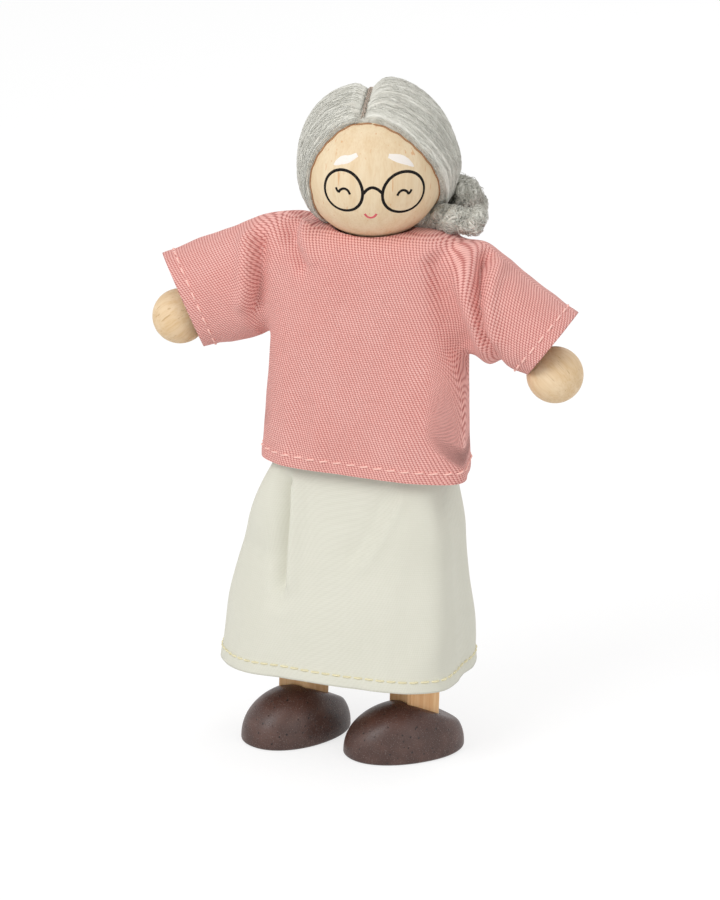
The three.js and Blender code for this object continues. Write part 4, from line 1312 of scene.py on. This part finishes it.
# %% Folds
FRONT, BACK = -1, 1
CUFF_START = 25  # only cloth further out than this belongs to a cuff
ABOVE_HEM = 70
NOTCH_OUT, NOTCH_DEPTH = 27.2, 1.6  # the left sleeve's underside is nipped in here
BAND, BAND_RISE = 2.3, 0.16  # the hems are folded over, so the cloth is thicker there
SEWN_IN = 0.14  # how far the sewing pulls the cloth in
FOLD_REACH, FOLD_FAR = 12, 9  # a fold acts this far aside of its start, and from its line
# side, depth, half width, ridge height, ridge aside, points
FOLDS = [
    (FRONT, 2.9, 0.85, 1.3, 2.2, [(22.8, 102.8), (23.6, 100.8), (23.8, 98.0), (24.0, 91.6),
                                  (25.0, 86.1), (26.6, 82.0)]),
    (FRONT, 3.0, 1.3, 1.5, -2.8, [(-20.6, 101.5), (-19.4, 96.3), (-19.0, 90.1), (-20.2, 83.5)]),
    (FRONT, 2.0, 1.6, 1.1, 2.8, [(-14.9, 103.0), (-13.4, 99.4), (-11.7, 97.2), (-9.6, 94.0)]),
    (FRONT, 2.2, 2.1, 1.0, 3.6, [(14.2, 101.0), (16.0, 97.8), (17.6, 92.7), (20.6, 85.5),
                                 (22.0, 80.5)]),
    (FRONT, 0.3, 2.5, 0.35, 3.5, [(-8.0, 72), (-9.4, 64), (-10, 58)]),
    (BACK, 1.2, 1.3, 0.7, 2.5, [(20.5, 100), (18.8, 94), (18.6, 88), (20, 83)]),
    (BACK, 1.2, 1.3, 0.7, -2.5, [(-20, 100), (-18.2, 94), (-18.2, 88), (-19.5, 83)]),
    (BACK, 0.5, 2.6, 0.4, 4.2, [(-3, 99), (-2, 88), (-3.5, 74), (-3, 58)]),
    (BACK, 0.5, 2.4, 0.4, -4.0, [(9, 98), (10.5, 86), (9, 72), (10, 58)]),
]


def beside_line(points, x, z):
    """How far a point lies beside a line, its sign, and how far along, from 0 to 1."""
    best = None
    count = len(points) - 1
    for k in range(count):
        start, end = Vector(points[k]), Vector(points[k + 1])
        step = end - start
        share = min(max((Vector((x, z)) - start).dot(step) / step.length_squared, 0), 1)
        away = Vector((x, z)) - (start + step * share)
        if best is None or away.length < best[0]:
            sign = 1 if step.x * away.y - step.y * away.x > 0 else -1
            best = (away.length, sign, (k + share) / count)
    return best


def fold_push(folds, place, outward):
    """How far a set of folds pushes the cloth out at a place about the doll's axis."""
    push = 0
    for side, deep, half, ridge, ridge_aside, points in folds:
        facing = ease(side * outward.y, 0.0, 0.35)
        if facing == 0 or abs(place.x - points[0][0]) > FOLD_REACH:
            continue
        away, sign, along = beside_line(points, place.x, place.z)
        if away > FOLD_FAR:
            continue
        fade = ease(along, 0, 0.18) * (1 - ease(along, 0.85, 1.0) * 0.8)
        push -= facing * fade * deep * bump(away, 0, half)
        push += facing * fade * ridge * bump(away * sign, ridge_aside, abs(ridge_aside) * 0.55)
    return push


def folded(point, outward):
    """How far the top's cloth is pushed out at a point, in millimetres."""
    place = point - AXIS
    push = -NOTCH_DEPTH * bump(place.x, NOTCH_OUT, 1.5) * ease(-outward.z, 0.15, 0.7)
    side = "left" if place.x > 0 else "right"
    if SIDES[side] * place.x > CUFF_START and place.z > ABOVE_HEM:
        inwards = sleeves[side].cuff_way.dot(sleeves[side].cuff_middle - point)
    else:
        inwards = place.z - SHIRT_HEM - HEM_TRIM
    push += BAND_RISE * (1 - ease(inwards, BAND, BAND + 0.5))
    push -= SEWN_IN * bump(inwards, BAND - 0.2, 0.35)
    push += 0.45 * noise.noise(Vector((place.x, place.y * 1.4, place.z * 0.6)) * 0.11)
    push += 0.16 * noise.noise(Vector((place.x, place.y, place.z * 0.7)) * 0.3)
    return push + fold_push(FOLDS, place, outward)


# %% Folds pressed in
garment.normal_update()
pushes = [(vertex, vertex.normal.copy() * folded(vertex.co, vertex.normal))
          for vertex in garment.verts]
for vertex, push in pushes:
    vertex.co += push
smoothed(garment, garment.verts, 2)

# %% Opened at the hem, the cuffs and the neck
NECK_OPENING, NECK_DEPTH = 6.0, 6  # its radius, and how far down its faces may lie
HEAD_ROOM = 0.2  # between the ball of the head and the cloth


def cut_open(shape, point, way, among=None):
    """Cuts off what lies past a plane, of the faces whose middles the rule lets through."""
    faces = [f for f in shape.faces if among is None or among(f.calc_center_median())]
    edges = {edge for face in faces for edge in face.edges}
    vertices = {vertex for face in faces for vertex in face.verts}
    bmesh.ops.bisect_plane(shape, geom=list(vertices) + list(edges) + faces, dist=MERGE,
                           plane_co=point, plane_no=way, clear_outer=True)


cut_open(garment, AXIS + Vector((0, 0, SHIRT_HEM + HEM_TRIM)), Vector((0, 0, -1)))
for sleeve in sleeves.values():
    cut_open(garment, sleeve.cuff_middle, sleeve.cuff_way,
             lambda place: (sleeve.way * (place.x - AXIS.x) > CUFF_START
                            and place.z > ABOVE_HEM))
neck_faces = [
    face for face in garment.faces
    if (face.calc_center_median() - AXIS).to_2d().length < NECK_OPENING
    and face.calc_center_median().z > SHIRT_TOP - NECK_DEPTH
]
bmesh.ops.delete(garment, geom=neck_faces, context="FACES")
room = BALL_RADIUS + HEAD_ROOM
for vertex in garment.verts:
    out = vertex.co - HEAD_MIDDLE
    if out.length < room:
        vertex.co = HEAD_MIDDLE + out.normalized() * room

# %% [markdown]
# The weave needs a flat map of the cloth, as on the cutting table. On the body it is the way
# round from the middle of the front or the back, and up. On a sleeve it is the way out along
# the arm, and round it. Between the two the maps are mixed, as the cloth bends there too.

# %% Flat map of the top
UPPER_ZONE = (79, 86)  # heights, from the way round the body to straight across
SLEEVE_ZONE = (15, 24)  # millimetres out, from the body's map to the sleeve's
UNDER_HEIGHT, UNDER_FALL = 88, 0.75  # a line that falls outwards, along the sleeve
UNDER_ZONE = (-12, -8)  # heights from that line, between which the sleeve's map begins


def arc_lengths(half_width, half_depth, squareness, steps=90):
    """The way along a quarter of an outline, from the middle of the front to the side."""
    lengths, last = [0.0], None
    for k in range(steps + 1):
        x, y = squared(math.pi / 2 * (1 - k / steps), half_width, half_depth, squareness)
        here = Vector((x, y))
        if last is not None:
            lengths.append(lengths[-1] + (here - last).length)
        last = here
    return lengths


def arc_to(lengths, across, deep, squareness):
    """The way along the quarter outline to a point given as shares of its half sizes."""
    power = squareness / 2
    turn = math.atan2(abs(across) ** power, max(deep, 0) ** power)
    place = turn / (math.pi / 2) * (len(lengths) - 1)
    start = min(int(place), len(lengths) - 2)
    return mix(lengths[start], lengths[start + 1], place - start)


body_arc = arc_lengths(HEM_HALF[0], (HEM_HALF[1] + SHOULDER_HALF[1]) / 2, BODY_SQUARENESS)
sleeve_arcs = {side: arc_lengths(sleeve.facts["cuff_half"][0], sleeve.facts["cuff_half"][1],
                                 SLEEVE_SQUARENESS) for side, sleeve in sleeves.items()}


def on_table(point, panel):
    """Where a point of the top lies on its flat front (-1) or back (+1) piece."""
    place = point - AXIS
    side = "left" if place.x > 0 else "right"
    sleeve = sleeves[side]
    half_depth = mix(HEM_HALF[1], SHOULDER_HALF[1], (place.z - SHIRT_HEM) / SHIRT_LENGTH)
    way_round = arc_to(body_arc, place.x / HEM_HALF[0], panel * place.y / half_depth,
                       BODY_SQUARENESS)
    upper = ease(place.z, *UPPER_ZONE)
    way_round = mix(abs(place.x), way_round, ease(abs(place.x), 1, 4))
    across = mix(math.copysign(way_round, place.x), place.x, upper)
    out = abs(place.x)
    over = place.z - (UNDER_HEIGHT - UNDER_FALL * out)
    on_sleeve = ease(out, *SLEEVE_ZONE) * ease(over, *UNDER_ZONE)
    if on_sleeve == 0:
        return across, place.z
    chord = sleeve.end - sleeve.start
    along = (Vector((out, place.z)) - sleeve.start).dot(chord) / chord.length_squared
    middle, tilt, half_height, half_deep = sleeve.section(min(max(along, 0), 1.1))
    high = (Vector((out, place.z)) - middle).dot(Vector((math.sin(tilt), math.cos(tilt))))
    round_it = arc_to(sleeve_arcs[side], high / half_height, panel * place.y / half_deep,
                      SLEEVE_SQUARENESS)
    flat = (sleeve.way * (sleeve.start.x + along * sleeve.length),
            sleeve.start.y + math.copysign(round_it, high))
    return mix(across, flat[0], on_sleeve), mix(place.z, flat[1], on_sleeve)


def mapped_flat(shape):
    """Gives the top its map. Each face lies on one panel, so the sewn seams stay sharp."""
    layer = shape.loops.layers.uv.new("cloth")
    known = {}
    for face in shape.faces:
        panel = -1 if face.calc_center_median().y < AXIS.y else 1
        for loop in face.loops:
            key = (loop.vert.index, panel)
            if key not in known:
                known[key] = on_table(loop.vert.co, panel)
            loop[layer].uv = known[key]


top_area = sum(face.calc_area() for face in garment.faces)
print("cloth of the top:", round(top_area), "square millimetres")
garment = through_modifier(garment, "SOLIDIFY", thickness=CLOTH, offset=-1)
garment.verts.index_update()
mapped_flat(garment)
print("top:", len(garment.faces), "faces")
shirt = finished("cotton_top", garment, "torso", pink_twill,
                 replaces=["shirt_body", "sleeve_right", "sleeve_left"])

# %% [markdown]
# The skirt is one piece of cotton with a single seam at the doll's left, gathered on elastic.
# A wrapped net follows the waist's squarish outline down to a rounder, wider hem.

# %% Skirt
SKIRT_TOP = node_box("skirt")[1].z
HEM_HEIGHT, HEM_SHIFT = 16.5, 3.4  # the hem hangs to the doll's right
SKIRT_DROP = SKIRT_TOP - HEM_HEIGHT
HEM_DROP = 2.4  # the hem hangs lower at the doll's right
WAIST_HALF = (16.75, 8.9)
SKIRT_HEM_HALF = (25.1, 16.5)
SKIRT_BAND = 3.6  # the straight part round the elastic
SEAM_RISE, SEAM_DEEP, SEAM_HALF, SEAM_STEP = 0.25, 0.3, 1.1, 0.9  # the seam at the left side
WAIST_SQUARENESS = 6
RIGHT_SQUARENESS, LEFT_SQUARENESS = 1.8, 4.0  # of the hem, pointed at the doll's right
# side, depth, half width, ridge height, ridge aside, points across and up
SKIRT_FOLDS = [
    (FRONT, 2.4, 1.6, 1.4, 2.7, [(-13.2, 59), (-12.9, 53), (-12.6, 46), (-12.4, 38),
                                 (-12.2, 31)]),
    (FRONT, 0.9, 1.4, 0.5, 2.4, [(9.4, 59), (8.0, 53), (5.4, 46), (0.5, 38)]),
    (FRONT, 0.5, 3.0, 0.5, 5.5, [(14.5, 56), (15.5, 46), (14.5, 34), (14, 20)]),
    (BACK, 1.2, 1.8, 0.7, 3.4, [(-7, 57), (-8, 44), (-10, 30), (-12, 16)]),
    (BACK, 1.0, 1.8, 0.7, -3.4, [(8, 57), (9, 44), (10, 30), (12, 16)]),
    (BACK, 0.6, 2.4, 0.4, 4.4, [(1, 57), (1, 40), (0, 16)]),
]


def skirt_outline(turn, spread):
    """A point of the skirt seen from above, between the waist and the hem."""
    leftward = 0.5 + 0.5 * math.cos(turn)
    quick = 1 - (1 - spread) ** 2.3
    slow = 0.2 * ease(spread, 0, 0.3) + 0.8 * spread ** 1.3
    half_width = mix(WAIST_HALF[0], SKIRT_HEM_HALF[0], mix(quick, slow, leftward))
    half_depth = mix(WAIST_HALF[1], SKIRT_HEM_HALF[1], spread)
    hem_squareness = mix(RIGHT_SQUARENESS, LEFT_SQUARENESS, leftward)
    squareness = mix(WAIST_SQUARENESS, hem_squareness, ease(spread, 0, 0.45))
    return squared(turn, half_width, half_depth, squareness)


def skirt_point(turn, along):
    """A point of the skirt, at a turn about the axis and a share of the way down."""
    spread = max(along * SKIRT_DROP - SKIRT_BAND, 0) / (SKIRT_DROP - SKIRT_BAND)
    x, y = skirt_outline(turn, spread)
    lower = HEM_DROP * spread * max(-x / SKIRT_HEM_HALF[0], 0) ** 2
    place = Vector((x - HEM_SHIFT * spread, y, SKIRT_TOP - along * SKIRT_DROP - lower))
    outward = Vector((x, y, 0)).normalized()
    push = 0.7 * spread * noise.noise(place * 0.09)
    push += 0.25 * spread * noise.noise(Vector((x, y, place.z * 0.4)) * 0.25)
    if spread > 0:
        push += ease(spread, 0, 0.1) * fold_push(SKIRT_FOLDS, place, outward)
    above = (1 - along) * SKIRT_DROP
    push += BAND_RISE * (1 - ease(above, BAND, BAND + 0.5)) - SEWN_IN * bump(above, BAND, 0.4)
    aside = math.sin(turn) * SKIRT_HEM_HALF[1] if math.cos(turn) > 0 else SKIRT_HEM_HALF[1]
    bumps = 0.6 + 0.4 * math.sin(place.z * math.pi / SEAM_STEP)
    push += SEAM_RISE * bumps * bump(aside, -SEAM_HALF, SEAM_HALF) - SEAM_DEEP * bump(aside, 0, 0.5)
    return AXIS + place + outward * push


SKIRT_ROUND = 130.0  # the cloth's own width, in millimetres
SKIRT_NET = (260, 100)  # faces round and down
skirt_shape = bmesh.new()
skirt_map = skirt_shape.loops.layers.uv.new("cloth")
wrapped(skirt_shape, lambda share, along: skirt_point(2 * math.pi * share, 1 - along),
        *SKIRT_NET, mapped=True)
for face in skirt_shape.faces:
    for loop in face.loops:
        share, along = loop[skirt_map].uv
        loop[skirt_map].uv = (share * SKIRT_ROUND, along * SKIRT_DROP)
smoothed(skirt_shape, [v for v in skirt_shape.verts if not v.is_boundary], 2)
skirt_shape = through_modifier(skirt_shape, "SOLIDIFY", thickness=CLOTH, offset=-1)
skirt = finished("cotton_skirt", skirt_shape, "torso", cream_cotton,
                 replaces=["skirt"])

# %% [markdown]
# The hems are sewn by machine with pale thread. The stitches lie on the finished cloth: rays
# cast inwards in the plane of a hem find a ring of points, and each stitch is a short strand
# that dives into the cloth at both its ends. The skirt's hem is found from its own outline.

# %% Rings of points on the cloth
STITCH_RADIUS = 0.2
STITCH_RISE, STITCH_SUNK = 0.13, 0.24
RAY_COUNT = 720


def cloth_tree(piece):
    """A search tree of a finished piece of cloth, in millimetres."""
    data = piece.data
    return BVHTree.FromPolygons([vertex.co / MM for vertex in data.vertices],
                                [list(face.vertices) for face in data.polygons])


def ring_on(tree, middle, way, reach):
    """Points round a piece of cloth in the plane square to way, each with its way out."""
    across = way.orthogonal().normalized()
    upward = way.cross(across)
    ring = []
    for k in range(RAY_COUNT):
        turn = 2 * math.pi * k / RAY_COUNT
        out = across * math.cos(turn) + upward * math.sin(turn)
        place = tree.ray_cast(middle + out * reach, -out, reach)[0]
        if place is not None:
            ring.append((place, out))
    return ring


def stitched(ring, long, pitch, slant):
    """Strands of thread round a closed ring of points, each with its ends in the cloth."""
    ways = [0.0]
    for k in range(len(ring)):
        ways.append(ways[-1] + (ring[(k + 1) % len(ring)][0] - ring[k][0]).length)
    count = round(ways[-1] / pitch)
    step = ways[-1] / count
    strands = []
    for k in range(count):
        path = []
        for j in range(STITCH_POINTS):
            share = j / (STITCH_POINTS - 1)
            distance = k * step + long * share
            index = max(bisect_left(ways, distance) - 1, 0)
            place, out = ring[index]
            ahead = ring[(index + 1) % len(ring)][0]
            part = (distance - ways[index]) / max(ways[index + 1] - ways[index], 1e-6)
            lift = mix(-STITCH_SUNK, STITCH_RISE, math.sin(math.pi * share) ** 0.5)
            side = out.cross(ahead - place).normalized()
            path.append(place.lerp(ahead, part) + out * lift + side * slant * (share - 0.5))
        strands.append((path, [1] * STITCH_POINTS, random.uniform(0.3, 0.8)))
    return strands


def sewn(name, ring, stitch, slant, surface):
    """A row of stitches round a hem, as a piece of thread that lies on the cloth."""
    strands = stitched(ring, stitch["long"], stitch["pitch"], slant)
    return yarn_mesh(name, strands, STITCH_RADIUS, 1, surface, body="torso")


# %% Sewing of the top
TOP_STITCH = {"long": 2.0, "pitch": 2.7}
HEM_INSET, CUFF_INSET = 2.1, 2.3
HEM_REACH, CUFF_REACH = 45, 14  # rays start this far out
top_tree = cloth_tree(shirt)
hem_middle = AXIS + Vector((0, 0, SHIRT_HEM + HEM_TRIM + HEM_INSET))
hem_ring = ring_on(top_tree, hem_middle, Vector((0, 0, 1)), HEM_REACH)
top_stitches = [sewn("top_hem_stitches", hem_ring, TOP_STITCH, 0.3, pink_thread)]
for side, sleeve in sleeves.items():
    cuff_ring = ring_on(top_tree, sleeve.cuff_middle - sleeve.cuff_way * CUFF_INSET,
                        sleeve.cuff_way, CUFF_REACH)
    top_stitches.append(sewn(f"cuff_stitches_{side}", cuff_ring, TOP_STITCH, 0.15, pink_thread))

# %% Sewing of the skirt
SKIRT_STITCH = {"long": 2.0, "pitch": 2.15}
SKIRT_INSET = 2.4
skirt_tree = cloth_tree(skirt)
skirt_ring = []
for k in range(RAY_COUNT):
    turn = 2 * math.pi * k / RAY_COUNT
    near = skirt_point(turn, 1 - SKIRT_INSET / SKIRT_DROP)
    out = (near - AXIS - Vector((0, 0, near.z))).normalized()
    skirt_ring.append((skirt_tree.find_nearest(near + out)[0], out))
skirt_stitches = sewn("skirt_hem_stitches", skirt_ring, SKIRT_STITCH, 0.05, cream_thread)

# %% [markdown]
# The cloth is sewn round limbs that move. At other poses it has to follow them, so the garments
# get an armature with one bone for each body of the doll. Each bone copies its body, and each
# point of the cloth is shared between the bones near it by a few plain rules.

# %% Bones for the cloth
rig_data = bpy.data.armatures.new("cloth_rig")
rig = linked("cloth_rig", rig_data)
bpy.context.view_layer.objects.active = rig
bpy.ops.object.mode_set(mode="EDIT")
for body in frame["bodies"]:
    bone = rig_data.edit_bones.new(body)
    bone.head, bone.tail, bone.roll = (0, 0, 0), (0, 5 * MM, 0), 0
bpy.ops.object.mode_set(mode="OBJECT")
for body, empty in frame["bodies"].items():
    follow = rig.pose.bones[body].constraints.new("COPY_TRANSFORMS")
    follow.target = empty
rig.hide_render = True


LEAST_SHARE = 0.002  # a smaller share of a bone is left out


def bend_with(piece, shares):
    """Gives a piece the armature. shares(place) gives a point's share of each body."""
    groups = {body: piece.vertex_groups.new(name=body) for body in frame["bodies"]}
    for vertex in piece.data.vertices:
        place = vertex.co / MM - AXIS
        for body, share in shares(place).items():
            if share > LEAST_SHARE:
                groups[body].add([vertex.index], share, "REPLACE")
    modifier = piece.modifiers.new("bend", "ARMATURE")
    modifier.object = rig
    modifier.use_deform_preserve_volume = True


# %% Shares of the top
SHOULDER_ZONE = (15.5, 23.5)  # millimetres out, from the body's cloth to the sleeve's
ELBOW_ZONE = (-3.5, 4)  # millimetres past the elbow, from the upper arm's cloth to the cuff's
ARMPIT_IN, ARMPIT_OUT, ARMPIT_SOFT = 80.5, 68, 3.5  # its height near the body and further out
ARMPIT_ZONE = (21, 28)  # millimetres out, from the one height to the other
elbows = {side: joint_place(f"elbow_bend_{side}") - AXIS for side in SIDES}


def top_shares(place):
    """The sleeve follows the upper arm, and past the elbow the forearm."""
    side = "left" if place.x > 0 else "right"
    out = abs(place.x)
    armpit = mix(ARMPIT_IN, ARMPIT_OUT, ease(out, *ARMPIT_ZONE))
    sleeve_share = ease(out, *SHOULDER_ZONE)
    sleeve_share *= ease(place.z, armpit - ARMPIT_SOFT, armpit + ARMPIT_SOFT)
    past = (place - elbows[side]).dot(sleeves[side].out_way)
    hand = sleeve_share * ease(past, *ELBOW_ZONE)
    return {"torso": 1 - sleeve_share, f"arm_{side}": sleeve_share - hand, f"hand_{side}": hand}


for piece in [shirt, *top_stitches]:
    bend_with(piece, top_shares)

# %% Shares of the skirt
HIP_ZONE, KNEE_ZONE = (44.0, 54.0), (24.0, 36.0)  # heights where one body gives way to another
MIDDLE_HALF = 9.0  # to each side of the middle, where the cloth belongs to both legs
FOOT_SHARES = (0.25, 0.55)  # of the hem in front, and behind
FRONT_TO_BACK = (-4, 8)  # millimetres behind the axis, from the one share to the other


def skirt_shares(place):
    """Below the waist the skirt swings with the hips, and its hem also with the feet."""
    leg_share = 1 - ease(place.z, *HIP_ZONE)
    foot = mix(*FOOT_SHARES, ease(place.y, *FRONT_TO_BACK)) * (1 - ease(place.z, *KNEE_ZONE))
    left = ease(place.x, -MIDDLE_HALF, MIDDLE_HALF)
    shares = {"torso": 1 - leg_share}
    for side, part in (("left", left), ("right", 1 - left)):
        shares[f"hip_{side}"] = leg_share * part * (1 - foot)
        shares[f"foot_{side}"] = leg_share * part * foot
    return shares


for piece in [skirt, skirt_stitches]:
    bend_with(piece, skirt_shares)

# %% [markdown]
# Each shoe is half a wooden egg with a square mortise that the shin is glued into. The dome is
# a wrapped net, and the mortise is cut with a boolean, as a chisel would.

# %% Shoes
SHOE = {"length": 25, "width": 17, "height": 9.3, "edge": 0.7, "heel_shift": 2.2,
        "squareness": 2.15, "heel_taper": 0.05, "sole": 2.6}
INSTEP = {"across": 4.5, "forward": -4.8, "reach": 5.4, "rise": 2.0}  # fuller before the shin
HEEL_SLOPE = {"height": 7.3, "fall": 0.45, "soft": 0.5}  # the heel is cut at a slope behind it
TOES = {"right": -20, "left": -38}
SHIN_SIDE = 7.3
MORTISE_ROOM = 0.1
MORTISE_TOP = 20  # above the whole shoe
SHOE_NET = (96, 60)  # faces round and along
SOLE_ROWS, EDGE_ROWS = 0.1, 0.24  # shares of the net's rows, from the sole's middle
DOME = 0.9  # below 1, the dome is fuller than an ellipse


def shoe_place(turn_share, along):
    """Half an egg, from the middle of the sole round the edge and up over the dome."""
    turn = 2 * math.pi * turn_share
    half_width, half_length = SHOE["width"] / 2, SHOE["length"] / 2
    edge = SHOE["edge"]
    if along < SOLE_ROWS:
        share, z = (along / SOLE_ROWS) * (1 - edge / half_width), 0
    elif along < EDGE_ROWS:
        bend = (along - SOLE_ROWS) / (EDGE_ROWS - SOLE_ROWS) * math.pi / 2
        share = 1 - edge / half_width * (1 - math.sin(bend))
        z = edge * (1 - math.cos(bend))
    else:
        rise = (along - EDGE_ROWS) / (1 - EDGE_ROWS) * math.pi / 2
        share = max(math.cos(rise), 0) ** DOME
        z = edge + (SHOE["height"] - edge) * math.sin(rise) ** DOME
    x, y = squared(turn, half_width * share, half_length * share, SHOE["squareness"])
    x, y = x * (1 + SHOE["heel_taper"] * y / half_length), y - SHOE["heel_shift"]
    if z > edge:
        instep = math.hypot(x - INSTEP["across"], y - INSTEP["forward"])
        z += INSTEP["rise"] * bump(instep, 0, INSTEP["reach"]) * ease(z, edge, 5)
        over = z - (HEEL_SLOPE["height"] - HEEL_SLOPE["fall"] * (y - SHIN_SIDE / 2))
        soft = HEEL_SLOPE["soft"]
        if over > soft:
            z -= over
        elif over > -soft:
            z -= (over + soft) ** 2 / (4 * soft)
    return Vector((x, y, z))


def block(low, high):
    """A closed box between two corners."""
    shape = bmesh.new()
    made = bmesh.ops.create_cube(shape, size=1)
    size = Vector(high) - Vector(low)
    bmesh.ops.scale(shape, vec=size, verts=made["verts"])
    bmesh.ops.translate(shape, vec=(Vector(high) + Vector(low)) / 2, verts=made["verts"])
    return shape


def cut_or_join(shape, tool, operation):
    """A boolean of two closed bmeshes."""
    holder = as_object("tool", tool)
    result = through_modifier(shape, "BOOLEAN", object=holder, operation=operation,
                              solver="EXACT")
    bpy.data.objects.remove(holder)
    return result


for side, degrees in TOES.items():
    shin_low, shin_high = node_box(f"shin_{side}")
    middle = Vector(((shin_low.x + shin_high.x) / 2, AXIS.y, 0))
    shoe = bmesh.new()
    wrapped(shoe, shoe_place, *SHOE_NET)
    bmesh.ops.recalc_face_normals(shoe, faces=shoe.faces)
    half = SHIN_SIDE / 2 + MORTISE_ROOM
    mortise = block((-half, -half, SHOE["sole"]), (half, half, MORTISE_TOP))
    shoe = cut_or_join(shoe, mortise, "DIFFERENCE")
    turn_out = Matrix.Translation(middle) @ Matrix.Rotation(math.radians(degrees), 4, "Z")
    bmesh.ops.transform(shoe, matrix=turn_out, verts=shoe.verts)
    finished(f"painted_shoe_{side}", shoe, f"foot_{side}", shoe_paint,
             replaces=[f"shoe_{side}"])

# %% [markdown]
# A forearm is turned in one piece: a round shaft, a small flared cuff, a groove for the wrist
# and a ball for the hand. Above, a flat tongue turns on the elbow's pin.

# %% Forearms and hands
HAND, WRIST, FLARE, FORE, ARM = 5.3, 2.6, 3.7, 3.0, 3.3  # radii
FOREARM, WRIST_LENGTH, FLARE_LENGTH = 13.4, 0.9, 2.4
TONGUE = 2.5  # thickness
PIN = 0.8  # radius
EASE = 0.3  # play round the tongue and the pin

groove_angle = math.degrees(math.acos(WRIST / HAND))
groove_top = math.sqrt(HAND ** 2 - WRIST ** 2) - FOREARM
flare_low = groove_top + WRIST_LENGTH
hand_profile = round_profile(HAND, HAND, -FOREARM, -90, groove_angle, 40)
hand_profile[0] = (0, -FOREARM - HAND)
hand_profile += [
    (WRIST - 0.12, groove_top + WRIST_LENGTH * 0.35), (WRIST - 0.08, flare_low - 0.25),
    (WRIST + 0.3, flare_low), (FLARE - 0.35, flare_low + 0.1), (FLARE - 0.08, flare_low + 0.3),
    (FLARE, flare_low + 0.65), (FLARE - 0.12, flare_low + 1.2), (FORE + 0.12, flare_low + 2.1),
    (FORE, flare_low + FLARE_LENGTH + 0.4), (FORE, -ARM - EASE - 0.3),
    (FORE - 0.3, -ARM - EASE), (0, -ARM - EASE),
]


def rod(radius, length, segments):
    """A round rod that lies along X."""
    shape = bmesh.new()
    bmesh.ops.create_cone(shape, cap_ends=True, segments=segments, radius1=radius,
                          radius2=radius, depth=length,
                          matrix=Matrix.Rotation(math.pi / 2, 4, "Y"))
    return shape


for side, way in SIDES.items():
    arm_slope = math.radians(SLEEVES[side]["slope"])
    elbow = joint_place(f"elbow_bend_{side}")
    forearm = turned(hand_profile, 72)
    neck = block((-TONGUE / 2, EASE - ARM, -ARM - 1.3), (TONGUE / 2, ARM - EASE, 0))
    tongue = cut_or_join(rod(ARM - EASE, TONGUE, 48), neck, "UNION")
    tongue = cut_or_join(tongue, rod(PIN + EASE, 2 * TONGUE, 24), "DIFFERENCE")
    forearm = cut_or_join(forearm, tongue, "UNION")
    hanging = Matrix.Rotation(-way * (math.pi / 2 - arm_slope), 4, "Y")
    bmesh.ops.transform(forearm, verts=forearm.verts,
                        matrix=Matrix.Translation(elbow) @ hanging)
    finished(f"turned_forearm_{side}", forearm, f"hand_{side}", hand_wood[side],
             replaces=[f"forearm_hand_{side}"])

# %% [markdown]
# The parts that stay as they were packed only get a finish here: the block, the knuckles, the
# upper arms, the thighs and shins are wood, the pins steel and the band white elastic.

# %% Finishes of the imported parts
KEPT = {
    inner_wood: ["torso_block", "neck_peg", "shoulder_knuckle", "hip_knuckle", "thigh_dowel",
                 "upper_arm"],
    leg_wood: ["thigh", "shin"],
    pin_steel: ["shoulder_pin", "elbow_pin", "hip_pin", "knee_pin"],
    white_elastic: ["waist_elastic"],
}
for surface, stems in KEPT.items():
    for node, piece in frame["nodes"].items():
        stem = node.replace("_right", "").replace("_left", "")
        if stem in stems:
            piece.data.materials.clear()
            piece.data.materials.append(surface)
